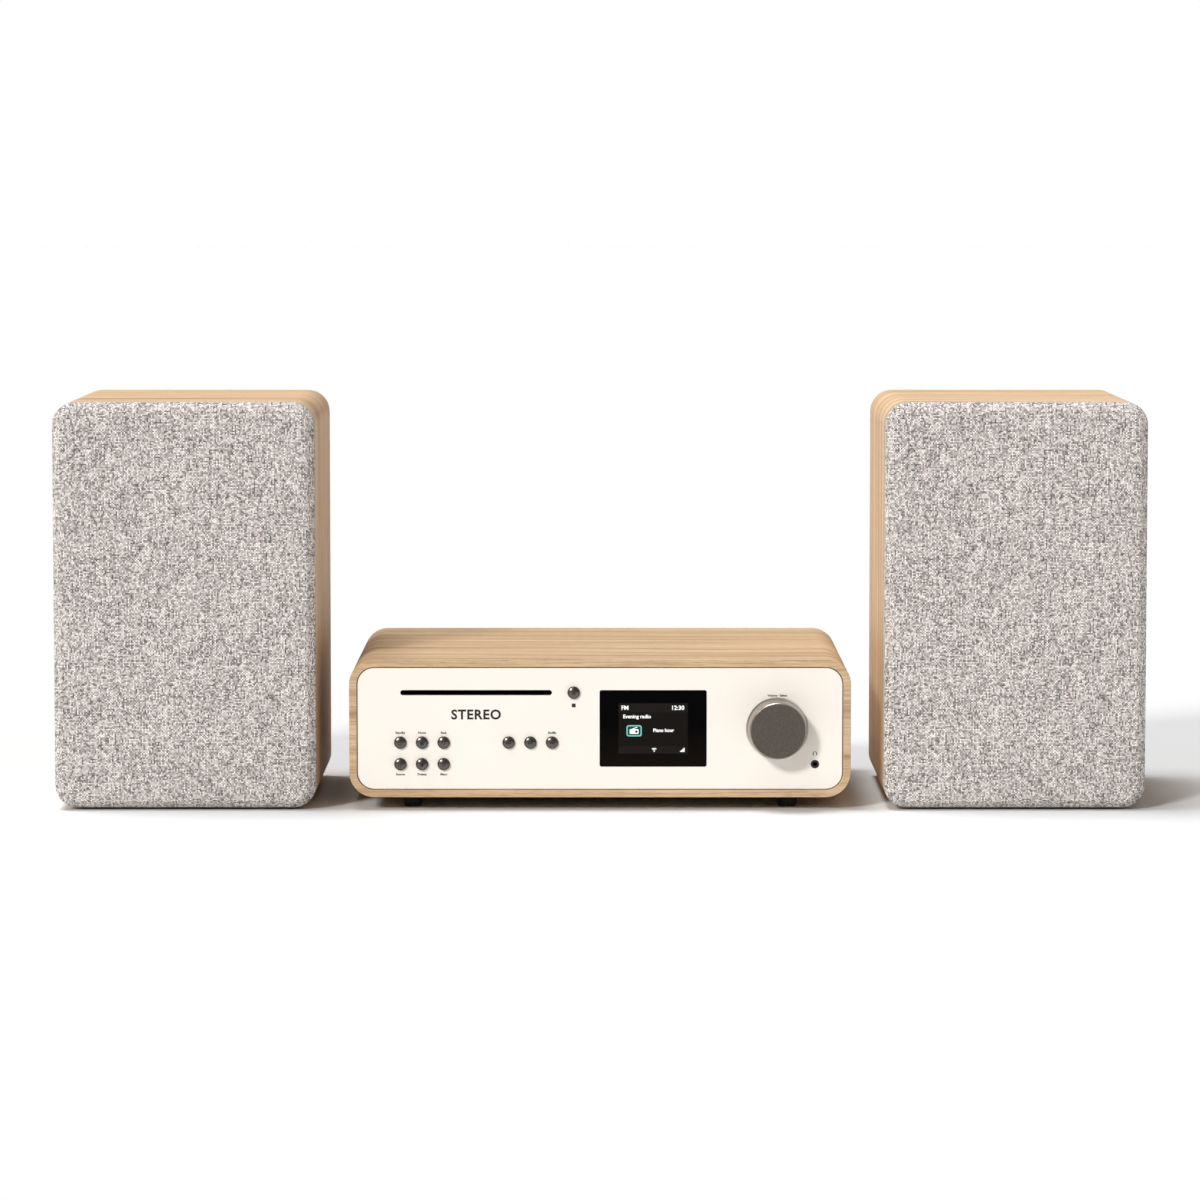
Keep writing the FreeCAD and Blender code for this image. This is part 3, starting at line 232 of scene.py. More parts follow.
def oakVeneer(name, v, tone):
    # grain runs round the wrap: fast change along Y, slow along X and Z; on the cut front edge, along X
    material, tree, shader = startMaterial(name)
    coord = node(tree, "TexCoord")
    place = coord.outputs["Object"]
    facing = node(tree, "SeparateXYZ", Vector=coord.outputs["Normal"]).outputs["Y"]
    front = sums(tree, "GREATER_THAN", sums(tree, "ABSOLUTE", facing), 0.75)
    split = node(tree, "SeparateXYZ", Vector=place)

    def grain(kind, detail, roughness, distortion=0.0):
        along, across = v["grain"][kind]
        mixed = tree.nodes.new("ShaderNodeMix")
        mixed.data_type = "VECTOR"
        feed(tree, mixed.inputs["Factor"], front)
        feed(tree, mixed.inputs[4], stretched(tree, place, (along, across, along)))
        feed(tree, mixed.inputs[5], stretched(tree, place, (along, along, across)))
        return noise(tree, mixed.outputs[1], 1.0, detail, roughness, distortion)

    streaks = grain("streaks", 3.0, 0.6, 0.4)
    fibres = grain("fibres", 2.0, 0.6)
    # growth rings: thin dark lines whose spacing and strength wander
    back = times(tree, split.outputs["Y"], minus(tree, 1.0, front))
    up = times(tree, split.outputs["Z"], front)
    depth = sums(tree, "MULTIPLY_ADD", plus(tree, back, up), v["ringsPerMetre"], 0.3)
    phase = sums(tree, "MULTIPLY_ADD", grain("wander", 2.0, 0.5), v["ringWander"], depth)
    phase = sums(tree, "MULTIPLY_ADD", grain("ripple", 2.0, 0.5), v["ringRipple"], phase)
    width = v["ringWidth"]
    ring = ramp(tree, wave(tree, phase), (0.0, grey(1.0)), (width * 0.35, grey(0.6)), (width, grey(0.0)))
    weak, strong = v["ringShare"]
    strength = ramp(tree, grain("patches", 1.0, 0.5), (0.36, grey(weak)), (0.60, grey(strong)))
    field = plus(tree, times(tree, grain("bands", 3.0, 0.6, 0.5), 0.60), times(tree, streaks, 0.40))
    colour = ramp(tree, field, (0.42, v["middle"]), (0.60, v["light"]))
    colour = mixColour(tree, times(tree, ring, strength), colour, v["streak"])
    dark = ramp(tree, streaks, (0.40, grey(0.34)), (0.50, grey(0.0)))
    colour = mixColour(tree, dark, colour, v["streak"])
    fibre = ramp(tree, fibres, (0.35, grey(0.84)), (0.62, grey(1.06)))
    colour = tinted(tree, colour, fibre)
    poreMask = times(tree, sums(tree, "LESS_THAN", grain("pores", 1.0, 0.5), 0.38), v["poreDepth"])
    colour = mixColour(tree, poreMask, colour, v["pore"])
    # tone scales the whole veneer's colour; the receiver's lower value is painted shade
    colour = tinted(tree, colour, grey(tone))
    fill(tree, shader, Base_Color=colour, Roughness=spread(tree, streaks, 0.62, 0.52), Specular_IOR_Level=0.2)
    bump(tree, shader, minus(tree, times(tree, fibres, 0.4), poreMask), 0.25, 0.00012)
    return material


linenValues = {
    "pitch": 1.20 * mm,
    "warp": (0.70, 0.652, 0.617),
    "weft": (0.52, 0.474, 0.443),
    "tone": (0.22, 1.66),
    "drift": 0.25,  # how far a yarn strays, in pitches
    "slub": 0.11,  # changes of a yarn's tone for each stitch
    "yarnShare": 0.62,  # the rest of a stitch's tone is its own
}


def linenCloth(v):
    # plain weave of uneven light and dark yarns, on the cloth's own UV map in metres
    material, tree, shader = startMaterial("linenCloth")
    uv = node(tree, "TexCoord").outputs["UV"]
    drift = node(tree, "TexNoise", {"noise_dimensions": "2D"}, Vector=uv, Scale=70.0, Detail=2.0)
    shift = node(tree, "VectorMath", {"operation": "SCALE"}, Vector=drift.outputs["Color"],
                 Scale=v["drift"] * v["pitch"]).outputs[0]
    moved = node(tree, "VectorMath", {"operation": "ADD"})
    tree.links.new(uv, moved.inputs[0])
    tree.links.new(shift, moved.inputs[1])
    split = node(tree, "SeparateXYZ", Vector=moved.outputs[0])
    across = sums(tree, "DIVIDE", split.outputs["X"], v["pitch"])
    along = sums(tree, "DIVIDE", split.outputs["Y"], v["pitch"])
    warpNumber = sums(tree, "FLOOR", across)
    weftNumber = sums(tree, "FLOOR", along)
    over = sums(tree, "MODULO", plus(tree, warpNumber, weftNumber), 2.0)
    over = sums(tree, "GREATER_THAN", sums(tree, "ABSOLUTE", over), 0.5)
    under = minus(tree, 1.0, over)

    def yarn(number, run, seed):
        spot = vector(tree, times(tree, number, 7.31), times(tree, run, v["slub"]), seed)
        return noise(tree, spot, 1.0, 1.0, 0.5)

    def pick(first, second):
        return plus(tree, times(tree, over, first), times(tree, under, second))

    spot = vector(tree, warpNumber, weftNumber, 0.0)
    stitch = node(tree, "TexWhiteNoise", {"noise_dimensions": "2D"}, Vector=spot).outputs["Value"]
    tone = pick(yarn(warpNumber, along, 2.5), yarn(weftNumber, across, 9.5))
    tone = plus(tree, times(tree, tone, v["yarnShare"]), times(tree, stitch, 1 - v["yarnShare"]))
    shade = ramp(tree, tone, (0.28, grey(v["tone"][0])), (0.72, grey(v["tone"][1])))
    warpHump, weftHump = wave(tree, across), wave(tree, along)
    warpTop = times(tree, warpHump, sums(tree, "MULTIPLY_ADD", weftHump, 0.55, 0.45))
    weftTop = times(tree, weftHump, sums(tree, "MULTIPLY_ADD", warpHump, 0.55, 0.45))
    height = pick(warpTop, weftTop)
    fray = noise(tree, uv, 3800.0, 2.0, 0.7)
    colour = mixColour(tree, over, v["weft"], v["warp"])
    colour = tinted(tree, colour, shade)
    colour = tinted(tree, colour, spread(tree, fray, 0.85, 1.12))
    # painted shade: the colour is darkened where the yarns dip away between their crossings
    yarnDipShade = ramp(tree, height, (0.05, grey(0.42)), (0.42, grey(1.0)))
    colour = mixColour(tree, 0.7, colour, yarnDipShade, "MULTIPLY")
    fill(tree, shader, Base_Color=colour, Roughness=0.95, Specular_IOR_Level=0.15, Sheen_Weight=0.2,
         Sheen_Roughness=0.5)
    bump(tree, shader, height, 0.5, 0.0004)
    return material


def painted(name, colour, roughness, grain=2600.0, depth=0.00004, strength=0.15, wear=0.04, specular=0.4):
    # a moulded or painted skin: fine orange peel, a little colour drift and uneven gloss
    material, tree, shader = startMaterial(name)
    place = objectPlace(tree)
    drift = noise(tree, place, 14.0, 3.0)
    fine = noise(tree, place, grain, 2.0, 0.6)
    fill(tree, shader, Base_Color=shades(tree, drift, colour, 1 - wear, 1, 0.35, 0.65),
         Roughness=spread(tree, fine, roughness * 0.9, roughness * 1.1), Specular_IOR_Level=specular)
    bump(tree, shader, fine, strength, depth)
    return material


def metal(name, colour, roughness, lines=(900.0, 900.0, 900.0), contrast=0.12, strength=0.1):
    # lines stretches the grain: equal for a blasted finish, unequal for a brushed one
    material, tree, shader = startMaterial(name)
    place = objectPlace(tree)
    grain = noise(tree, stretched(tree, place, lines), 1.0, 3.0, 0.6)
    drift = noise(tree, place, 30.0, 2.0)
    mixed = plus(tree, times(tree, grain, 0.7), times(tree, drift, 0.3))
    fill(tree, shader, Base_Color=shades(tree, grain, colour, 1 - contrast, 1 + contrast),
         Roughness=spread(tree, mixed, roughness * 0.85, roughness * 1.15), Metallic=1.0)
    bump(tree, shader, grain, strength, 0.00003)
    return material


def knobFace(colour):
    # bead-blasted and anodised: dark, fine sparkle
    material, tree, shader = startMaterial("knobFace")
    place = objectPlace(tree)
    fine = noise(tree, place, 3000.0, 2.0, 0.7)
    broad = noise(tree, place, 900.0, 2.0, 0.6)
    mixed = plus(tree, times(tree, fine, 0.7), times(tree, broad, 0.3))
    fill(tree, shader, Base_Color=shades(tree, mixed, colour, 0.55, 1.45, 0.36, 0.64), Metallic=0.55,
         Roughness=0.55)
    bump(tree, shader, fine, 0.4, 0.00006)
    return material


def displayGlass():
    # a smoked window, a little warmer towards its foot
    material, tree, shader = startMaterial("displayGlass")
    place = objectPlace(tree)
    haze = noise(tree, place, 25.0, 3.0)
    low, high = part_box("display_window")
    height = node(tree, "SeparateXYZ", Vector=place).outputs["Z"]
    rise = sums(tree, "DIVIDE", minus(tree, height, low.z), high.z - low.z)
    tint = ramp(tree, rise, (0.0, (0.0075, 0.0052, 0.0038)), (0.55, (0.0015, 0.0012, 0.0012)))
    colour = tinted(tree, tint, spread(tree, haze, 0.8, 1.0))
    fill(tree, shader, Base_Color=colour, Roughness=spread(tree, haze, 0.05, 0.10), Specular_IOR_Level=0.02)
    return material


def glowing(name, colour, strength):
    # a lit part of the display: its own even light, over a dark base with the panel's faint cell grid
    material, tree, shader = startMaterial(name)
    grid = noise(tree, objectPlace(tree), 3000.0, 1.0)
    fill(tree, shader, Base_Color=shades(tree, grid, colour, 0.4, 0.5), Roughness=0.3,
         Specular_IOR_Level=0.02, Emission_Color=(*colour, 1), Emission_Strength=strength)
    return material


def paperCone():
    # pressed pulp: short fibres in a felted, uneven black skin
    material, tree, shader = startMaterial("pulpCone")
    place = objectPlace(tree)
    fibre = noise(tree, place, 700.0, 4.0, 0.75, 0.6)
    broad = noise(tree, place, 60.0, 2.0)
    fill(tree, shader, Base_Color=spread(tree, fibre, 0.012, 0.035),
         Roughness=spread(tree, broad, 0.62, 0.75))
    bump(tree, shader, fibre, 0.35, 0.0002)
    return material


def circuitBoard():
    material, tree, shader = startMaterial("circuitBoard")
    cells = node(tree, "TexVoronoi", {"feature": "DISTANCE_TO_EDGE", "distance": "CHEBYCHEV"},
                 Vector=objectPlace(tree), Scale=260.0).outputs["Distance"]
    tracks = ramp(tree, cells, (0.04, (0.10, 0.30, 0.13)), (0.10, (0.012, 0.075, 0.03)))
    fill(tree, shader, Base_Color=tracks, Roughness=0.35)
    bump(tree, shader, cells, 0.3, 0.0001)
    return material


oak = oakVeneer("oakVeneer", oakValues, 0.97)
# the receiver's copy of the same oak, darker all over: painted shade for its top, which sits lower between
# the speakers and gets less light
receiverOakPaintedShade = oakVeneer("receiverOakPaintedShade", oakValues, 0.80)
linen = linenCloth(linenValues)
creamPaint = painted("creamPaint", (0.93, 0.865, 0.785), 0.38, grain=1900.0, depth=0.00002, strength=0.10,
                     wear=0.012)
blackPrint = painted("blackPrint", grey(0.012), 0.5)
whitePrint = painted("whitePrint", grey(0.75), 0.5)
glass = displayGlass()
screenBack = glowing("screenBack", (0.012, 0.0095, 0.0085), 0.45)
screenBar = glowing("screenBar", (0.017, 0.0145, 0.0135), 0.45)
screenWhite = glowing("screenWhite", (0.95, 0.95, 0.93), 0.85)
screenTeal = glowing("screenTeal", (0.20, 0.55, 0.47), 0.7)
screenDeep = glowing("screenDeep", (0.010, 0.075, 0.060), 0.6)
taupeFace = knobFace((0.098, 0.082, 0.068))
# the knob's spun side: a brushed finish, with a colour much lighter than the face's that is painted
# reflection of the light from above
taupeSideWithPaintedSheen = metal("taupeSideWithPaintedSheen", (0.36, 0.32, 0.28), 0.34, (300.0, 2600.0, 300.0), contrast=0.08)
taupeCap = metal("taupeCap", (0.135, 0.12, 0.108), 0.24, (1500.0, 1500.0, 1500.0), contrast=0.10)
blackPlastic = painted("blackPlastic", grey(0.016), 0.45, grain=1500.0, depth=0.00006, strength=0.3)
whiteNylon = painted("whiteNylon", (0.72, 0.71, 0.66), 0.5, 1200.0)
baffleBlack = painted("baffleBlack", grey(0.020), 0.55, grain=900.0, depth=0.00012, strength=0.4)
backBlack = painted("backBlack", grey(0.024), 0.6, grain=700.0, depth=0.00018, strength=0.5)
darkSteel = painted("darkSteel", grey(0.022), 0.42, grain=1300.0, depth=0.0001, strength=0.45)
rubber = painted("rubber", grey(0.014), 0.7, grain=1100.0, depth=0.00008, strength=0.4, wear=0.1,
                 specular=0.3)
steel = metal("steel", (0.62, 0.63, 0.64), 0.30, (60.0, 1400.0, 60.0))
castAluminium = metal("castAluminium", (0.42, 0.42, 0.43), 0.42, (700.0, 700.0, 700.0),
                      contrast=0.10, strength=0.3)
nickel = metal("nickel", (0.70, 0.68, 0.64), 0.22, contrast=0.05)
gold = metal("gold", (0.83, 0.62, 0.27), 0.24, contrast=0.05)
redPlastic = painted("redPlastic", (0.45, 0.02, 0.02), 0.4, 1500.0)
board = circuitBoard()
cone = paperCone()
silk = painted("silkDome", grey(0.03), 0.65, grain=2400.0, depth=0.0002, strength=0.5)
spiderCloth = painted("spiderCloth", (0.30, 0.19, 0.07), 0.8, grain=1800.0, depth=0.0001, strength=0.4,
                      wear=0.1, specular=0.2)

# ---- small tools for pieces


def newPiece(name, bm, body, materials, replaced=(), smooth=True):
    mesh = bpy.data.meshes.new(name)
    bm.to_mesh(mesh)
    bm.free()
    for material in materials:
        mesh.materials.append(material)
    if smooth:
        mesh.shade_smooth()
        mesh.set_sharp_from_angle(angle=radians(35))
    piece = bpy.data.objects.new(name, mesh)
    scene.collection.objects.link(piece)
    if replaced:
        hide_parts(*replaced)
    if body:
        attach(piece, body)
    return piece


def dress(nodeName, material):
    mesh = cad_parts[nodeName].data
    mesh.materials.clear()
    mesh.materials.append(material)


def spun(bm, outline, centre, steps=96, materialAt=None):
    # outline: (radius, depth) pairs, turned about an axis along Y through centre
    corners = [bm.verts.new((r, depth, 0)) for r, depth in outline]
    edges = [bm.edges.new(pair) for pair in zip(corners, corners[1:])]
    before = set(bm.faces)
    bmesh.ops.spin(bm, geom=corners + edges, cent=(0, 0, 0), axis=(0, 1, 0), angle=2 * pi, steps=steps,
                   use_merge=True, use_duplicate=False)
    made = [f for f in bm.faces if f not in before]
    bmesh.ops.remove_doubles(bm, verts=pointsOf(made), dist=1e-6)
    made = [f for f in bm.faces if f not in before]
    bmesh.ops.recalc_face_normals(bm, faces=made)
    if materialAt:
        for f in made:
            f.material_index = materialAt(f.calc_center_median())
    bmesh.ops.translate(bm, verts=pointsOf(made), vec=centre)
    return made


def arc(centre, radius, start, end, count):
    # points of an arc in the (radius, depth) plane, angles in degrees
    angles = [radians(start + (end - start) * i / count) for i in range(count + 1)]
    return [(centre[0] + radius * cos(a), centre[1] + radius * sin(a)) for a in angles]


def words(bm, text, size, at, align="CENTER", back=False, bold=0.0, spacing=1.0):
    # a line of lettering standing on the plane at at.y, read from the front, or from behind
    curve = bpy.data.curves.new("words", "FONT")
    curve.body = text
    curve.size = size
    curve.align_x = align
    curve.align_y = "CENTER"
    curve.space_character = spacing
    curve.extrude = 0.03 * mm
    curve.offset = bold
    curve.resolution_u = 3
    holder = bpy.data.objects.new("words", curve)
    scene.collection.objects.link(holder)
    bpy.context.view_layer.update()
    mesh = bpy.data.meshes.new_from_object(holder.evaluated_get(bpy.context.evaluated_depsgraph_get()))
    turn = Matrix.Rotation(pi if back else 0.0, 4, "Z") @ Matrix.Rotation(pi / 2, 4, "X")
    mesh.transform(Matrix.Translation(at) @ turn)
    bm.from_mesh(mesh)
    bpy.data.objects.remove(holder)
    bpy.data.curves.remove(curve)
    bpy.data.meshes.remove(mesh)


def pourInto(bm, other):
    held = bpy.data.meshes.new("held")
    other.to_mesh(held)
    other.free()
    bm.from_mesh(held)
    bpy.data.meshes.remove(held)


def faceFront(bm):
    bmesh.ops.recalc_face_normals(bm, faces=bm.faces[:])
    for f in bm.faces:
        if f.normal.y > 0:
            f.normal_flip()


def addSign(bm, sign, size, at, index=0):
    # sizes a flat sign, puts it in its place and adds it to a piece
    for f in sign.faces:
        f.material_index = index
    bmesh.ops.scale(sign, verts=sign.verts[:], vec=(size, size, size))
    bmesh.ops.translate(sign, verts=sign.verts[:], vec=at)
    faceFront(sign)
    pourInto(bm, sign)


# ---- flat shapes for signs: about the middle, facing -Y, in a square of side 2
def turned(bm, points, angle, axis="Z"):
    bmesh.ops.rotate(bm, verts=points, cent=(0, 0, 0), matrix=Matrix.Rotation(radians(angle), 3, axis))


def standUp(bm, points, at):
    turned(bm, points, 90, "X")
    bmesh.ops.translate(bm, verts=points, vec=(at[0], 0, at[1]))


def flatPoly(bm, sidesCount, radius, at=(0, 0), turn=0.0, squeeze=(1, 1)):
    made = bmesh.ops.create_circle(bm, cap_ends=True, segments=sidesCount, radius=radius)["verts"]
    turned(bm, made, turn)
    bmesh.ops.scale(bm, verts=made, vec=(*squeeze, 1))
    standUp(bm, made, at)


def flatBar(bm, width, height, at=(0, 0), turn=0.0):
    made = bmesh.ops.create_grid(bm, x_segments=1, y_segments=1, size=0.5)["verts"]
    bmesh.ops.scale(bm, verts=made, vec=(width, height, 1))
    turned(bm, made, turn)
    standUp(bm, made, at)


def flatRing(bm, radius, width, start, end, at=(0, 0)):
    before = set(bm.verts)
    ends = [bm.verts.new((radius + width * side, 0, 0)) for side in (-0.5, 0.5)]
    edge = bm.edges.new(ends)
    turned(bm, ends, -start, "Y")
    bmesh.ops.spin(bm, geom=ends + [edge], cent=(0, 0, 0), axis=(0, -1, 0),
                   angle=radians(end - start), steps=20)
    made = [p for p in bm.verts if p not in before]
    bmesh.ops.translate(bm, verts=made, vec=(at[0], 0, at[1]))


def triangle(bm, at, pointing, size):
    flatPoly(bm, 3, size, at, {"right": -90, "left": 90, "up": 0}[pointing])


# each button's sign, as its flat shapes
buttonSigns = {
    "power": [(flatRing, 0.72, 0.3, 128, 412), (flatBar, 0.3, 0.85, (0, 0.58))],
    "home": [(triangle, (0, 0.2), "up", 1.0), (flatBar, 1.1, 0.8, (0, -0.42))],
    "back": [(flatRing, 0.55, 0.28, -100, 130), (triangle, (-0.5, 0.3), "left", 0.5)],
    "source": [(flatRing, 0.78, 0.22, 0, 359), (triangle, (0.08, 0), "right", 0.5)],
    "preset": [(flatPoly, 20, 0.47, (-0.38, 0.28)), (flatPoly, 20, 0.47, (0.38, 0.28)),
               (flatPoly, 4, 0.8, (0, -0.08), 0.0, (1.0, 1.12))],
    "menu": [(flatBar, 1.4, 0.26, (0, z)) for z in (-0.5, 0, 0.5)],
    "previous": [(triangle, (0.5, 0), "left", 0.62), (triangle, (-0.28, 0), "left", 0.62),
                 (flatBar, 0.24, 1.05, (-0.85, 0))],
    "play": [(triangle, (-0.42, 0), "right", 0.7), (flatBar, 0.26, 1.1, (0.32, 0)),
             (flatBar, 0.26, 1.1, (0.75, 0))],
    "next": [(triangle, (-0.5, 0), "right", 0.62), (triangle, (0.28, 0), "right", 0.62),
             (flatBar, 0.24, 1.05, (0.85, 0))],
    "eject": [(triangle, (0, 0.2), "up", 0.8), (flatBar, 1.3, 0.28, (0, -0.52))],
}

print("stage: buttons")
buttonValues = {
    "crown": 0.86,  # share of the radius that the dome takes
    **inMm(radius=5.0, rim=0.55, rise=1.2, lip=0.25, flange=6.2, flangeThick=1.2, clear=0.1, stem=2.4,
           sign=2.35, signThick=0.04),
}


def domeDepth(r, v):
    sphere = (v["radius"] ** 2 + v["rise"] ** 2) / (2 * v["rise"])
    return sphere - sqrt(sphere * sphere - r * r)


def makeButton(kind, v):
    name = kind + "_button"
    low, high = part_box(name)
    centre = middleAt(low, high, low.y)
    depth = high.y - low.y
    flangeFront = panelBack - low.y + v["clear"]
    flangeBack = flangeFront + v["flangeThick"]
    radius, rim = v["radius"], v["rim"]
    crownRadii = [radius * v["crown"] * i / 12 for i in range(13)]
    crown = [(r, domeDepth(r, v)) for r in crownRadii]
    rimStart, grooveDepth = crown[-1][0], crown[-1][1] + v["lip"]
    groove = [(rimStart + 0.10 * mm, grooveDepth), (rimStart + 0.22 * mm, grooveDepth)]
    edge = arc((radius - rim, grooveDepth + rim * 0.6), rim, -70, 0, 6)
    outline = crown + groove + edge
    outline += [(radius, flangeFront), (v["flange"], flangeFront), (v["flange"], flangeBack)]
    outline += [(v["stem"], flangeBack), (v["stem"], depth), (0, depth)]
    bm = bmesh.new()
    spun(bm, outline, centre, 64)
    sign = bmesh.new()
    for shape, *how in buttonSigns[kind]:
        shape(sign, *how)
    bmesh.ops.scale(sign, verts=sign.verts[:], vec=(v["sign"], v["sign"], v["sign"]))
    bmesh.ops.triangulate(sign, faces=sign.faces[:])
    bmesh.ops.subdivide_edges(sign, edges=sign.edges[:], cuts=3, use_grid_fill=True)
    faceFront(sign)
    for f in sign.faces:
        f.material_index = 1
    for p in sign.verts:
        p.co.y = domeDepth(hypot(p.co.x, p.co.z), v) - v["signThick"]
    bmesh.ops.translate(sign, verts=sign.verts[:], vec=centre)
    pourInto(bm, sign)
    newPiece(kind + "ButtonCap", bm, name, [taupeCap, blackPrint], [name])


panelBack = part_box("slot_throat")[0].y
for kind in buttonSigns:
    makeButton(kind, buttonValues)

print("stage: volume knob")
knobValues = inMm(edge=0.9, wall=2.6, boss=6.5, bore=3.0, taper=1.6)


def makeKnob(v):
    low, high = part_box("volume_knob")
    centre = middleAt(low, high, low.y)
    base = (high.x - low.x) / 2
    front = base - v["taper"]
    length = high.y - low.y
    edge = v["edge"]
    face = [(0, 0), (front * 0.5, 0), (front - edge * 1.35, 0)]
    chamfer = arc((front - edge, edge * 0.55), edge * 0.55, -90, -45, 3)
    chamfer += arc((front - 0.45 * edge, edge), 0.45 * edge, -45, -5, 4)
    side = [(front + (base - front) * t, edge + (length - edge) * t) for t in (0.25, 0.5, 0.75, 0.985)]
    foot = [(base, length - 0.15 * mm), (base - 0.25 * mm, length), (base - v["wall"], length)]
    inside = [(base - v["wall"], v["wall"]), (v["boss"], v["wall"]), (v["boss"], length * 0.86)]
    inside += [(v["bore"], length * 0.86), (v["bore"], v["wall"] + 1 * mm), (0, v["wall"] + 1 * mm)]
    bm = bmesh.new()
    faceEdge = front - edge * 1.1
    # the flat face keeps the dark blasted colour; the chamfer, side and inside take the side's lighter
    # colour, a painted reflection of the top light
    spun(bm, face + chamfer + side + foot + inside, centre, 160,
         lambda p: 0 if p.y < 0.05 * mm and hypot(p.x, p.z) < faceEdge else 1)
    newPiece("volumeKnob", bm, "volume_knob", [taupeFace, taupeSideWithPaintedSheen], ["volume_knob"])


makeKnob(knobValues)

print("stage: display")
displayValues = {
    **inMm(width=57.9, height=42.3, lift=0.05, topBar=7.6, lowBar=6.2, sheet=0.03, bold=0.10),
    # each line: its words, size, the end that it is set from, and its place from the left and the top
    "lines": (("FM", 5.0 * mm, "LEFT", 2.2 * mm, 3.9 * mm), ("12:30", 5.0 * mm, "RIGHT", 55.0 * mm, 3.9 * mm),
              ("Evening radio", 4.3 * mm, "LEFT", 3.7 * mm, 11.2 * mm),
              ("Piano hour", 3.956 * mm, "CENTER", 37.6 * mm, 22.8 * mm)),
    "bars": inMm(fromRight=5.9, step=0.95, wide=0.78, low=0.9, rise=0.85, lift=1.4),
    "wireless": inMm(size=1.9, fromLeft=29.8, fromTop=39.0),
    "icon": inMm(size=12.8, fromLeft=13.0, fromTop=23.1),
}


def cube(bm, size, centre):
    made = bmesh.ops.create_cube(bm, size=1.0)["verts"]
    bmesh.ops.scale(bm, verts=made, vec=size)
    bmesh.ops.translate(bm, verts=made, vec=centre)
    return made


def soften(bm, edges, offset, segments):
    bmesh.ops.bevel(bm, geom=edges, offset=offset, segments=segments, profile=0.5, affect="EDGES",
                    material=-1)


def plate(bm, x, z, y, width, height, thick, index=0, corner=0.0):
    # a thin upright plate with round corners
    made = cube(bm, (width, thick, height), (x, y, z))
    for f in {f for p in made for f in p.link_faces}:
        f.material_index = index
    if corner:
        upright = [e for e in {e for p in made for e in p.link_edges}
                   if abs(e.verts[0].co.y - e.verts[1].co.y) > thick * 0.5]
        soften(bm, upright, corner, 6)


def makeScreen(v):
    low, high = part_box("display_window")
    cx, cz = (low.x + high.x) / 2, (low.z + high.z) / 2
    y = low.y - v["lift"]
    w, h, sheet = v["width"], v["height"], v["sheet"]
    left, right, top, bottom = cx - w / 2, cx + w / 2, cz + h / 2, cz - h / 2
    bm = bmesh.new()
    plate(bm, cx, cz, y, w, h, 0.04 * mm)
    plate(bm, cx, bottom + v["lowBar"] / 2, y - sheet, w, v["lowBar"], sheet, 1)
    plate(bm, cx, top - v["topBar"] / 2, y - sheet, w, v["topBar"], sheet, 1)
    newPiece("screenPicture", bm, "receiver", [screenBack, screenBar], smooth=False)
    bm = bmesh.new()
    y -= 2 * sheet
    for text, size, align, x, z in v["lines"]:
        words(bm, text, size, Vector((left + x, y, top - z)), align, bold=v["bold"])
    bars = v["bars"]
    for i in range(4):
        tall = bars["low"] + bars["rise"] * i
        x = right - bars["fromRight"] + bars["step"] * i
        plate(bm, x, bottom + bars["lift"] + tall / 2, y, bars["wide"], tall, sheet)
    # the wireless sign: a dot under two arcs
    wireless = v["wireless"]
    sign = bmesh.new()
    flatPoly(sign, 16, 0.26, (0, -0.75))
    for r in (0.75, 1.35):
        flatRing(sign, r, 0.32, 45, 135, (0, -0.75))
    addSign(bm, sign, wireless["size"], (left + wireless["fromLeft"], y, top - wireless["fromTop"]))
    newPiece("screenWords", bm, "receiver", [screenWhite], smooth=False)
    # the small radio picture: a teal frame, a white set with a dial and an aerial
    size = v["icon"]["size"]
    x, z = left + v["icon"]["fromLeft"], top - v["icon"]["fromTop"]
    bm = bmesh.new()
    plate(bm, x, z, y, size, size * 0.74, sheet, 0, size * 0.15)
    plate(bm, x, z, y - sheet, size * 0.84, size * 0.58, sheet, 1, size * 0.09)
    plate(bm, x, z - size * 0.05, y - 2 * sheet, size * 0.58, size * 0.30, sheet, 2, size * 0.05)
    dial = bmesh.new()
    flatPoly(dial, 24, 0.09)
    addSign(bm, dial, size, (x + size * 0.15, y - 3 * sheet, z - size * 0.05), 1)
    aerial = bmesh.new()
    flatBar(aerial, 0.42, 0.05, turn=22)
    addSign(bm, aerial, size, (x + size * 0.02, y - 0.08 * mm, z + size * 0.17), 2)
    newPiece("screenRadioSign", bm, "receiver", [screenTeal, screenDeep, screenWhite],
             smooth=False)


makeScreen(displayValues)

print("stage: printed words")
printValues = {
    **inMm(labelSize=2.6, labelBold=0.09, over=8.3, under=8.6, overKnob=27.7, markSize=11.2, markBold=0.35,
           markUnder=18.8, dot=3.2, dotUnder=10.7, phones=1.55, phonesOver=9.0),
    "labelsOver": {"power": "Standby", "home": "Home", "back": "Back", "next": "Shuffle"},
    "labelsUnder": {"source": "Source", "preset": "Presets", "menu": "Menu"},
}


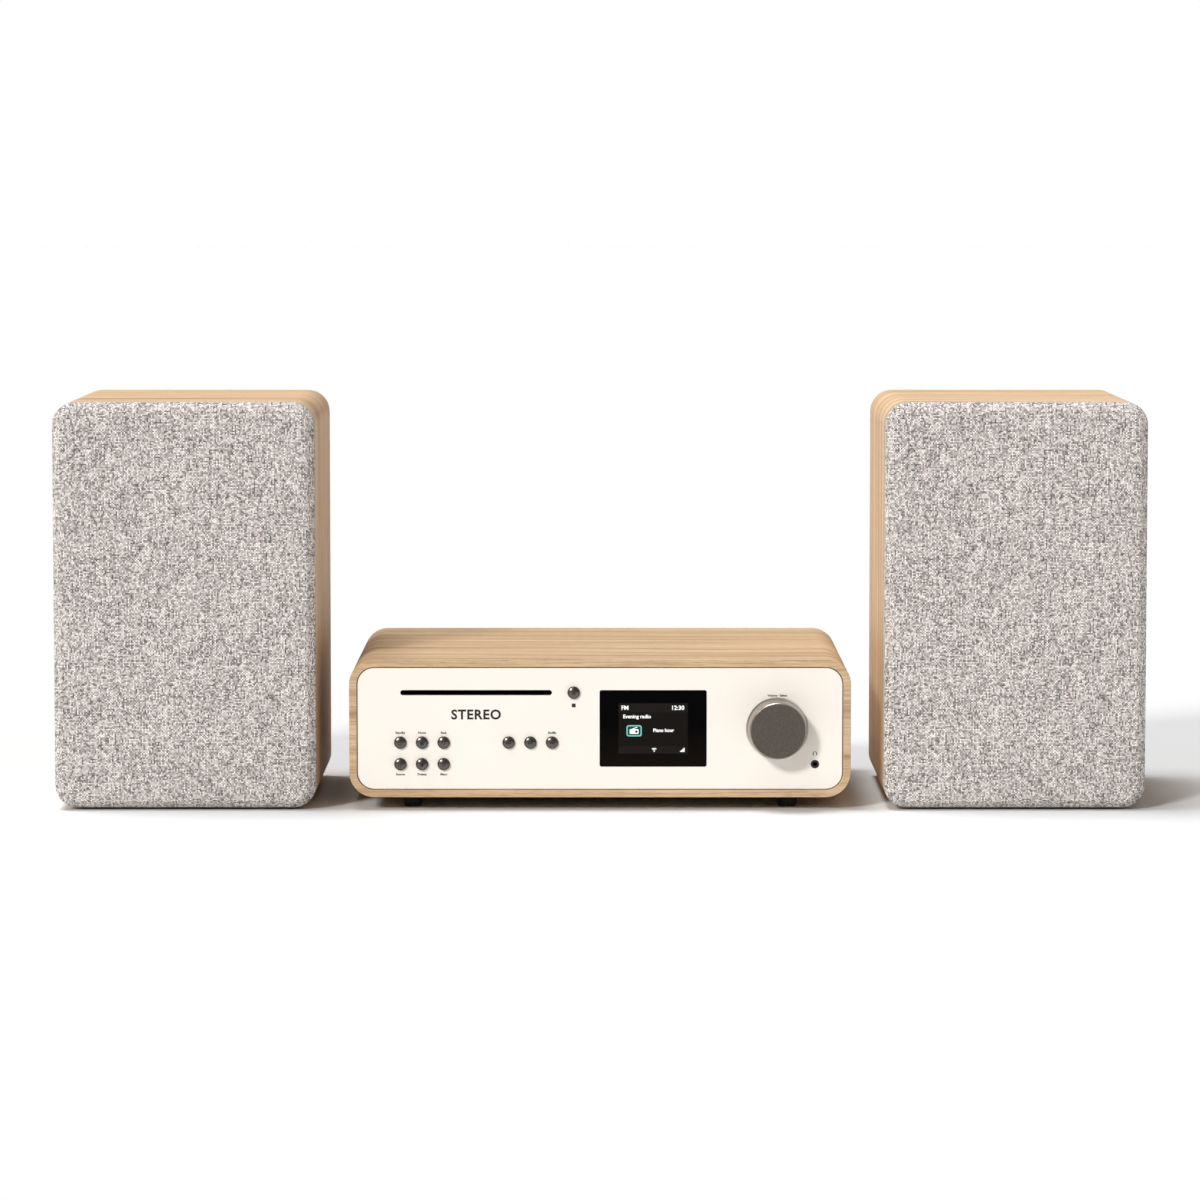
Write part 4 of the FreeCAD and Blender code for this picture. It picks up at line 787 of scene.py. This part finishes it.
def makePanelPrint(v):
    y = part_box("display_window")[0].y - 0.02 * mm
    bm = bmesh.new()

    def label(text, at, rise):
        words(bm, text, v["labelSize"], Vector((at.x, y, at.z + rise)), bold=v["labelBold"])

    for labels, rise in ((v["labelsOver"], v["over"]), (v["labelsUnder"], -v["under"])):
        for kind, text in labels.items():
            label(text, middle(kind + "_button"), rise)
    label("Volume · Select", middle("volume_knob"), v["overKnob"])
    slot = middle("slot_throat")
    words(bm, "STEREO", v["markSize"], Vector((slot.x, y, slot.z - v["markUnder"])), bold=v["markBold"],
          spacing=1.10)
    eject = middle("eject_button")
    plate(bm, eject.x, eject.z - v["dotUnder"], y, v["dot"], v["dot"], 0.04 * mm)
    # headphones: a band over two cups
    jack = middle("headphone_jack")
    sign = bmesh.new()
    flatRing(sign, 1.0, 0.30, -5, 185)
    for s in (-1, 1):
        flatBar(sign, 0.52, 0.95, (0.9 * s, -0.42))
    addSign(bm, sign, v["phones"], (jack.x, y - 0.02 * mm, jack.z + v["phonesOver"]))
    newPiece("panelPrint", bm, "receiver", [blackPrint], smooth=False)


makePanelPrint(printValues)

print("stage: grille cloth")
clothValues = inMm(corner=19.0, chamfer=6.5, soft=1.4, thick=0.9)


def makeGrilleCloth(side, v):
    nodeName = side + "_grille_cloth"
    low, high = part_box(nodeName)
    cx, cz = (low.x + high.x) / 2, (low.z + high.z) / 2
    halfW, halfH = (high.x - low.x) / 2, (high.z - low.z) / 2
    bm = bmesh.new()
    cube(bm, high - low, (low + high) / 2)
    upright = [e for e in bm.edges if abs(e.verts[0].co.y - e.verts[1].co.y) > 1 * mm]
    soften(bm, upright, v["corner"], 14)
    back = [f for f in bm.faces if all(abs(p.co.y - high.y) < 1e-6 for p in f.verts)]
    bmesh.ops.delete(bm, geom=back, context="FACES")

    def rim(y):
        return [e for e in bm.edges if all(abs(p.co.y - y) < 1e-6 for p in e.verts)]

    soften(bm, rim(low.y), v["chamfer"], 1)
    soft = rim(low.y) + rim(low.y + v["chamfer"])
    soften(bm, soft, v["soft"], 4)
    bmesh.ops.recalc_face_normals(bm, faces=bm.faces[:])
    frontFace = max(bm.faces, key=lambda f: f.calc_area())
    if frontFace.normal.y > 0:
        bmesh.ops.reverse_faces(bm, faces=bm.faces[:])
    # the cloth unrolled: its place across the front, and further out by its length round the edge
    layer = bm.loops.layers.uv.new("cloth")
    core = Vector((halfW - v["corner"], halfH - v["corner"]))
    for f in bm.faces:
        for loop in f.loops:
            p = loop.vert.co
            flat = Vector((p.x - cx, p.z - cz))
            near = Vector((max(-core.x, min(core.x, flat.x)), max(-core.y, min(core.y, flat.y))))
            out = flat - near
            out = out.normalized() if out.length > 1e-9 else Vector((0, 0))
            depth = p.y - low.y
            slope = min(depth, v["chamfer"])
            extra = slope * (sqrt(2) - 1) + max(0.0, depth - v["chamfer"])
            loop[layer].uv = flat + out * extra + Vector((0.5, 0.5))
    piece = newPiece(side + "GrilleCloth", bm, side + "_grille", [linen], [nodeName])
    wall = piece.modifiers.new("wall", "SOLIDIFY")
    wall.thickness = v["thick"]
    wall.offset = -1


for side in sides:
    makeGrilleCloth(side, clothValues)

print("stage: sockets, screws and labels")


def islands(nodeName):
    # the box of each separate solid of a CAD node, from left to right and then upwards
    bm = bmesh.new()
    bm.from_mesh(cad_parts[nodeName].data)
    bmesh.ops.remove_doubles(bm, verts=bm.verts[:], dist=1e-6)
    waiting = set(bm.verts)
    boxes = []
    while waiting:
        reached = [waiting.pop()]
        group = list(reached)
        while reached:
            reached = list({q for p in reached for e in p.link_edges for q in e.verts if q in waiting})
            waiting.difference_update(reached)
            group += reached
        low = Vector([min(p.co[i] for p in group) for i in range(3)])
        high = Vector([max(p.co[i] for p in group) for i in range(3)])
        boxes.append((low, high))
    bm.free()
    return sorted(boxes, key=lambda box: (round(box[0].x, 4), box[0].z))


def loft(bm, rings, indexAt=None):
    # rings of as many points each, joined in turn and closed at both ends
    rows = [[bm.verts.new(p) for p in ring] for ring in rings]
    made = [bm.faces.new(rows[0]), bm.faces.new(rows[-1])]
    for first, second in zip(rows, rows[1:]):
        for i in range(len(first)):
            j = (i + 1) % len(first)
            made.append(bm.faces.new((first[i], first[j], second[j], second[i])))
    bmesh.ops.recalc_face_normals(bm, faces=made)
    for f in made:
        f.material_index = indexAt(f) if indexAt else 0
    return made


def ringOf(centre, depth, radiusAt, count=48):
    # a closed ring about an axis along Y; radiusAt gives its radius at each angle
    ring = []
    for i in range(count):
        a = 2 * pi * i / count
        ring.append(centre + Vector((radiusAt(a) * cos(a), depth, radiusAt(a) * sin(a))))
    return ring


def circle(centre, radius, depth, count=48):
    return ringOf(centre, depth, lambda a: radius, count)


def cross(centre, radius, depth):
    return ringOf(centre, depth, lambda a: radius * (0.30 + 0.70 * max(0.0, cos(4 * a)) ** 0.6))


def roundedRing(centre, width, height, corner, depth, steps=6):
    ring = []
    for sx, sz, start in ((1, 1, 0), (-1, 1, 90), (-1, -1, 180), (1, -1, 270)):
        for i in range(steps + 1):
            a = radians(start + 90 * i / steps)
            x = sx * (width / 2 - corner) + corner * cos(a)
            z = sz * (height / 2 - corner) + corner * sin(a)
            ring.append(centre + Vector((x, depth, z)))
    return ring


screwValues = inMm(head=3.9, thick=2.2, shank=2.0)
smallScrew = inMm(head=2.4, thick=1.3, shank=1.3)


def addScrew(bm, seat, length, v, facing="back", index=0):
    # a pan head with a cross recess on the plane of its seat, and its shank
    head, thick, shank = v["head"], v["thick"], v["shank"]
    zero = Vector((0, 0, 0))
    rings = [circle(zero, shank * 0.6, -length), circle(zero, shank, shank * 0.5 - length)]
    rings.append(circle(zero, shank, 0))
    crown = ((1.0, 0.0), (1.0, 0.45), (0.93, 0.80), (0.78, 1.0))  # shares of the head's radius and thickness
    rings += [circle(zero, head * r, thick * d) for r, d in crown]
    rings += [cross(zero, head * 0.62, thick), cross(zero, head * 0.36, thick * 0.3)]
    made = loft(bm, rings, lambda f: index)
    turn = {"back": Matrix.Identity(4), "front": Matrix.Rotation(pi, 4, "Z"),
            "down": Matrix.Rotation(-pi / 2, 4, "X")}[facing]
    bmesh.ops.transform(bm, matrix=Matrix.Translation(seat) @ turn, verts=pointsOf(made))


def makeCaseScrews(v):
    bm = bmesh.new()
    for low, high in islands("case_screws"):
        centre = (low + high) / 2
        if high.y - low.y > high.x - low.x + mm:
            seat = Vector((centre.x, high.y - v["thick"], centre.z))
            addScrew(bm, seat, seat.y - low.y, v)
        else:
            seat = Vector((centre.x, centre.y, low.z + v["thick"]))
            addScrew(bm, seat, high.z - seat.z, v, "down")
    newPiece("caseScrews", bm, "receiver", [steel], ["case_screws"])


makeCaseScrews(screwValues)

postValues = {"ridges": 16, **inMm(bore=2.05, cap=6.5, capStart=1.7, capEnd=8.0, washer=7.8, body=4.5,
                                   deep=8.0, long=10.0, ridgeDepth=0.45)}


def addPost(bm, place, capIndex, v):
    # a binding post: a ridged cap with a 4 mm bore, a washer, and its body behind the panel
    cap, start, end = v["cap"], v["capStart"], v["capEnd"]
    soft = 0.7 * mm
    outline = [(0, -v["deep"]), (v["bore"], -v["deep"]), (v["bore"], end), (v["bore"] + 0.8 * mm, end)]
    outline += [(v["bore"] + 0.9 * mm, end - 0.4 * mm), (cap - 1.6 * mm, end - 0.4 * mm)]
    outline += [(cap - 1.5 * mm, end), (cap - soft, end), (cap, end - soft), (cap, start + 0.3 * mm)]
    outline += [(cap - 0.4 * mm, start)]
    outline += [(v["washer"], start - 0.2 * mm), (v["washer"], 0), (v["body"], 0), (v["body"], -v["long"])]
    outline += [(0, -v["long"])]

    def materialAt(p):
        return capIndex if p.y > start - 0.1 * mm and hypot(p.x, p.z) > v["bore"] + 0.3 * mm else 0

    made = spun(bm, outline, place, 96, materialAt)
    for p in pointsOf(made):
        out = Vector((p.co.x - place.x, 0, p.co.z - place.z))
        if abs(out.length - cap) < 0.2 * mm:
            wave = 0.5 + 0.5 * cos(v["ridges"] * atan2(out.z, out.x))
            p.co -= out.normalized() * v["ridgeDepth"] * wave


# outlines of the turned sockets, as (radius, depth) in mm, from the pin's hole to the back of the barrel
phonoOutline = [(0, -2), (1.6, -2), (1.6, 8), (3.2, 8), (3.35, 8.2), (3.35, 9), (4.0, 9), (4.15, 8.8),
                (4.15, 1.2), (6.0, 1.2), (6.2, 1.0), (6.2, 0), (4.5, 0), (4.5, -10), (0, -10)]
threadValues = {"turns": 9, "radius": 4.75, "deep": 0.35, "start": 9.4, "long": 7.2}
aerialFront = [(0, -4), (0.6, -4), (0.6, 9), (3.3, 9), (3.4, 10), (4.4, 10)]
aerialBack = [(4.75, 2), (6.3, 2), (6.5, 1.8), (6.5, 0), (4.75, 0), (4.75, -9), (0, -9)]


def addSocket(bm, place, outline, insulator, radius, deep):
    # inside the given radius and in front of the given depth it is the insulator
    outline = [(r * mm, depth * mm) for r, depth in outline]
    spun(bm, outline, place, 64, lambda p: insulator if hypot(p.x, p.z) < radius and p.y > deep else 0)


def aerialOutline(v):
    half = 2 * v["turns"]
    thread = [(v["radius"] - v["deep"] * (i % 2), v["start"] - v["long"] * i / half) for i in range(half + 1)]
    return aerialFront + thread + aerialBack


inletValues = inMm(flange=(26, 17), body=(20, 12), recess=(16, 8.6), thick=1.5, back=-16, deep=-13,
                   pinGap=8.6, pin=1.2)


def addInlet(bm, place, plastic, pinIndex, v):
    rings = [roundedRing(place, *v["body"], 0.8 * mm, v["back"]), roundedRing(place, *v["body"], 0.8 * mm, 0)]
    rings += [roundedRing(place, *v["flange"], 2 * mm, d) for d in (0, v["thick"] * 0.7)]
    rings += [roundedRing(place, v["flange"][0] - 0.8 * mm, v["flange"][1] - 0.8 * mm, 1.7 * mm, v["thick"])]
    rings += [roundedRing(place, *v["recess"], 4.25 * mm, d) for d in (v["thick"], v["deep"])]
    loft(bm, rings, lambda f: plastic)
    for s in (-1, 1):
        at = place + Vector((s * v["pinGap"] / 2, 0, 0))
        pin = [circle(at, v["pin"], v["deep"] - mm, 24), circle(at, v["pin"], -2.6 * mm, 24)]
        loft(bm, pin + [circle(at, v["pin"] * 0.6, -2 * mm, 24)], lambda f: pinIndex)


rearPrintValues = inMm(label=3.4, title=4.0, sign=4.6, bold=0.08, postUnder=13, postOver=18, signOver=11,
                       phonoUnder=10, aerialUnder=10.5, inletOver=13)


def makeRearSockets(v):
    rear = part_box("rear_panel")[1].y
    places = [middleAt(low, high, rear) for low, high in islands("rear_sockets")]
    inlet, phonos, posts, aerial = places[0], places[1:5], places[5:9], places[9]
    bm = bmesh.new()
    addInlet(bm, inlet, 1, 4, inletValues)
    for i, at in enumerate(phonos):
        addSocket(bm, at, phonoOutline, 2 if i % 2 else 3, 3.3 * mm, -2.1 * mm)
    for i, at in enumerate(posts):
        addPost(bm, at, 2 if i % 2 else 1, postValues)
    addSocket(bm, aerial, aerialOutline(threadValues), 3, 3.35 * mm, -5 * mm)
    skins = [nickel, blackPlastic, redPlastic, whiteNylon, steel]
    newPiece("rearSockets", bm, "receiver", skins, ["rear_sockets"])

    bm = bmesh.new()
    y = rear + 0.04 * mm

    def label(text, x, z, size=v["label"]):
        words(bm, text, size, Vector((x, y, z)), back=True, bold=v["bold"])

    pairMiddle = [(posts[i].x + posts[i + 1].x) / 2 for i in (0, 2)]
    postRow = posts[0].z
    label("Left", pairMiddle[0], postRow - v["postUnder"])
    label("Right", pairMiddle[1], postRow - v["postUnder"])
    label("Speakers", sum(pairMiddle) / 2, postRow + v["postOver"], v["title"])
    for i, at in enumerate(posts):
        label("+" if i % 2 else "–", at.x, at.z + v["signOver"], v["sign"])
    label("Line in", phonos[0].x, phonos[0].z - v["phonoUnder"])
    label("Line out", phonos[2].x, phonos[2].z - v["phonoUnder"])
    for text, at in (("L", phonos[0]), ("R", phonos[1])):
        label(text, (phonos[0].x + phonos[2].x) / 2, at.z)
    label("Aerial", aerial.x, aerial.z - v["aerialUnder"])
    label("Mains", inlet.x, inlet.z + v["inletOver"])
    newPiece("rearPrint", bm, "receiver", [whitePrint], smooth=False)


makeRearSockets(rearPrintValues)

print("stage: speaker drivers")
driverValues = {
    "surround": {"sectors": 16, "steps": 6, **inMm(out=61.0, rollOut=57.0, rollIn=49.0, inner=46.0, seat=2.95,
                                                   thick=0.75, bends=(57.0, 49.0))},
    "spider": {"sectors": 8, "steps": 8, "waves": 5, **inMm(out=37.0, inner=13.55, depth=34.4, thick=0.6,
                                                            height=0.7, bends=(34.0, 15.0))},
    "wooferScrews": {"count": 6, **inMm(radius=64.0, length=10)},
    "tweeter": inMm(dome=12.5, rise=5.6, base=2.9, mouth=15.0, flare=9.0, mouthDepth=2.4, plate=47.0,
                    thick=3.5, magnet=32.9, deep=25.5, screws=40.0),
}


def surroundSection(v):
    # a closed section in (radius, depth): a lip, a half roll standing forward, and an inner lip
    rollMiddle = (v["rollOut"] + v["rollIn"]) / 2
    big = (v["rollOut"] - v["rollIn"]) / 2
    front = v["seat"] - v["thick"]
    outer = [(v["out"], front)] + arc((rollMiddle, front), big, 0, -180, 14) + [(v["inner"], front)]
    inner = [(v["inner"], v["seat"])] + arc((rollMiddle, v["seat"]), big - v["thick"], -180, 0, 14)
    return outer + inner + [(v["out"], v["seat"])]


def spiderSection(v):
    count = 6 * v["waves"]
    front = []
    for i in range(count + 1):
        share = i / count
        radius = v["out"] + (v["inner"] - v["out"]) * share
        front.append((radius, v["depth"] + v["height"] * sin(2 * pi * v["waves"] * share)))
    return front + [(r, depth + v["thick"]) for r, depth in reversed(front)]


def makeSuspension(side, part, section, v, material):
    # cut into sectors between the basket and the cone, each one its own piece along its own radius
    low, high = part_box(side + "_woofer_frame")
    centre = middleAt(low, high, low.y)
    for k in range(v["sectors"]):
        span = 2 * pi / v["sectors"]
        rings = []
        for i in range(v["steps"] + 1):
            a = span * (k + i / v["steps"])
            rings.append([centre + Vector((r * cos(a), depth, r * sin(a))) for r, depth in section])
        bm = bmesh.new()
        loft(bm, rings)
        piece = newPiece(f"{side}{part}{k}", bm, None, [material], [side + "_woofer_suspension"])
        out = Vector((cos(span * (k + 0.5)), 0, sin(span * (k + 0.5))))
        start, end = [tuple(centre + out * radius) for radius in v["bends"]]
        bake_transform(piece)
        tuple(start)
        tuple(end)


def makeDrivers(side, v):
    makeSuspension(side, "Surround", surroundSection(v["surround"]), v["surround"], rubber)
    makeSuspension(side, "Spider", spiderSection(v["spider"]), v["spider"], spiderCloth)
    low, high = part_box(side + "_woofer_frame")
    centre = middleAt(low, high, low.y)
    screws = v["wooferScrews"]
    bm = bmesh.new()
    for i in range(screws["count"]):
        a = radians(30 + 360 * i / screws["count"])
        seat = centre + Vector((screws["radius"] * cos(a), 0, screws["radius"] * sin(a)))
        addScrew(bm, seat, screws["length"], smallScrew, "front")
    newPiece(side + "WooferScrews", bm, side + "_speaker", [darkSteel])

    t = v["tweeter"]
    low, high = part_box(side + "_tweeter")
    centre = middleAt(low, high, high.y - t["deep"])
    sphere = (t["dome"] ** 2 + t["rise"] ** 2) / (2 * t["rise"])
    tip = t["base"] - t["rise"]
    domeRadii = [t["dome"] * i / 12 for i in range(13)]
    dome = [(r, tip + sphere - sqrt(sphere ** 2 - r ** 2)) for r in domeRadii]
    ringMiddle = (t["dome"] + t["mouth"]) / 2
    roll = arc((ringMiddle, t["base"]), (t["mouth"] - t["dome"]) / 2, -180, 0, 8)[1:]
    flare = [(t["mouth"] + t["flare"] * i / 8, t["mouthDepth"] * (1 - i / 8) ** 2) for i in range(9)]
    plateEdge = [(t["plate"] - 0.6 * mm, 0), (t["plate"], 0.6 * mm), (t["plate"], t["thick"])]
    plateEdge.append((t["magnet"], t["thick"]))
    back = [(t["magnet"], t["deep"] - mm), (t["magnet"] - mm, t["deep"]), (0, t["deep"])]

    def materialAt(p):
        radius = hypot(p.x, p.z)
        if radius < t["mouth"] - 0.05 * mm and p.y < t["thick"]:
            return 1
        return 2 if p.y > t["thick"] + 0.1 * mm else 0

    bm = bmesh.new()
    spun(bm, dome + roll + flare + plateEdge + back, centre, 96, materialAt)
    for i in range(4):
        a = radians(45 + 90 * i)
        seat = centre + Vector((t["screws"] * cos(a), 0, t["screws"] * sin(a)))
        addScrew(bm, seat, t["thick"] * 0.8, smallScrew, "front", 2)
    newPiece(side + "TweeterUnit", bm, side + "_speaker", [blackPlastic, silk, darkSteel],
             [side + "_tweeter"])


terminalValues = inMm(pitch=19.0, plate=(84.0, 58.0), thick=3.0, dish=(70.0, 44.0), dishDepth=0.8,
                      screwInset=4.5, sign=5, signOver=13.5)


def makeTerminals(side, v):
    low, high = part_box(side + "_terminal_plate")
    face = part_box(side + "_back_panel")[1].y
    centre = middleAt(low, high, face)
    width, height = v["plate"]
    rings = [roundedRing(centre, width, height, 0.5 * mm, -v["thick"])]
    rings += [roundedRing(centre, width, height, 0.5 * mm, -0.5 * mm)]
    rings += [roundedRing(centre, width - mm, height - mm, 0.5 * mm, 0)]
    rings += [roundedRing(centre, *v["dish"], 6 * mm, 0)]
    rings += [roundedRing(centre, v["dish"][0] - 2 * mm, v["dish"][1] - 2 * mm, 5 * mm, -v["dishDepth"])]
    bm = bmesh.new()
    loft(bm, rings)
    for s, index in ((-1, 0), (1, 1)):
        at = centre + Vector((s * v["pitch"] / 2, 0, 0))
        post = bmesh.new()
        addPost(post, at, 1, postValues)
        for f in post.faces:
            f.material_index = 2 if f.material_index == 0 else index
        pourInto(bm, post)
    for sx in (-1, 1):
        for sz in (-1, 1):
            out = Vector((sx * (width / 2 - v["screwInset"]), 0, sz * (height / 2 - v["screwInset"])))
            addScrew(bm, centre + out, v["thick"] * 0.8, smallScrew, "back", 3)
    skins = [blackPlastic, redPlastic, gold, darkSteel]
    newPiece(side + "Terminals", bm, side + "_speaker", skins, [side + "_terminal_plate"])
    bm = bmesh.new()
    y = face - v["dishDepth"] + 0.04 * mm
    for s, sign in ((-1, "–"), (1, "+")):
        at = Vector((centre.x + s * v["pitch"] / 2, y, centre.z + v["signOver"]))
        words(bm, sign, v["sign"], at, back=True, bold=0.1 * mm)
    newPiece(side + "TerminalPrint", bm, side + "_speaker", [whitePrint], smooth=False)


for side in sides:
    makeDrivers(side, driverValues)
    makeTerminals(side, terminalValues)

print("stage: CAD nodes")
finishes = {
    "case_wrap": receiverOakPaintedShade, "front_panel": creamPaint, "display_window": glass, "slot_throat": blackPlastic,
    "control_board": board, "encoder_shaft": steel, "encoder_rotor": whiteNylon,
    "headphone_jack": blackPlastic, "base_tray": steel, "rear_panel": darkSteel, "main_board": board,
    "heat_sink": castAluminium, "power_supply": board, "receiver_feet": rubber,
    "cd_chassis": blackPlastic, "traverse_deck": steel, "loading_roller": rubber, "turntable": blackPlastic,
    "clamp_arm": whiteNylon, "laser_sled": blackPlastic, "lead_screw": steel,
}
speakerFinishes = {
    "cabinet": oak, "baffle": baffleBlack, "back_panel": backBlack, "grille_frame": blackPlastic,
    "woofer_frame": castAluminium, "woofer_cone": cone, "port_tube": blackPlastic, "crossover": board,
    "feet": rubber,
}
for name, material in finishes.items():
    dress(name, material)
for side in sides:
    for name, material in speakerFinishes.items():
        dress(side + "_" + name, material)

print("stage: floor and light")
lightValues = {
    "world": 0.28,
    "key": {"from": (-0.25, -0.42, 0.27), "spread": 10, "strength": 1.85},
    "top": {"from": (-0.20, 0.03, 0.77), "spread": 25, "strength": 2.45},
}


def makeFloor():
    bm = bmesh.new()
    bmesh.ops.create_grid(bm, x_segments=1, y_segments=1, size=30)
    mesh = bpy.data.meshes.new("floor")
    bm.to_mesh(mesh)
    bm.free()
    material, tree, shader = startMaterial("floorWhite")
    fill(tree, shader, Base_Color=(*grey(0.76), 1), Roughness=0.9, Specular_IOR_Level=0.0)
    mesh.materials.append(material)
    floor = bpy.data.objects.new("floor", mesh)
    scene.collection.objects.link(floor)


def makeLight(name, v):
    data = bpy.data.lights.new(name, "SUN")
    data.angle = radians(v["spread"])
    data.energy = v["strength"]
    light = bpy.data.objects.new(name, data)
    scene.collection.objects.link(light)
    light.location = v["from"]
    light.rotation_euler = (-light.location).to_track_quat("-Z", "Y").to_euler()


def makeWorld(strength):
    world = bpy.data.worlds.new("studio")
    scene.world = world
    world.use_nodes = True
    tree = world.node_tree
    seen = tree.nodes.new("ShaderNodeLightPath").outputs["Is Camera Ray"]
    level = tree.nodes.new("ShaderNodeMapRange")
    tree.links.new(seen, level.inputs["Value"])
    level.inputs["To Min"].default_value = strength
    level.inputs["To Max"].default_value = 1.0
    background = tree.nodes["Background"]
    background.inputs["Color"].default_value = (1, 1, 1, 1)
    tree.links.new(level.outputs["Result"], background.inputs["Strength"])


makeFloor()
makeWorld(lightValues["world"])
makeLight("key", lightValues["key"])
makeLight("top", lightValues["top"])
scene.view_settings.view_transform = "Standard"
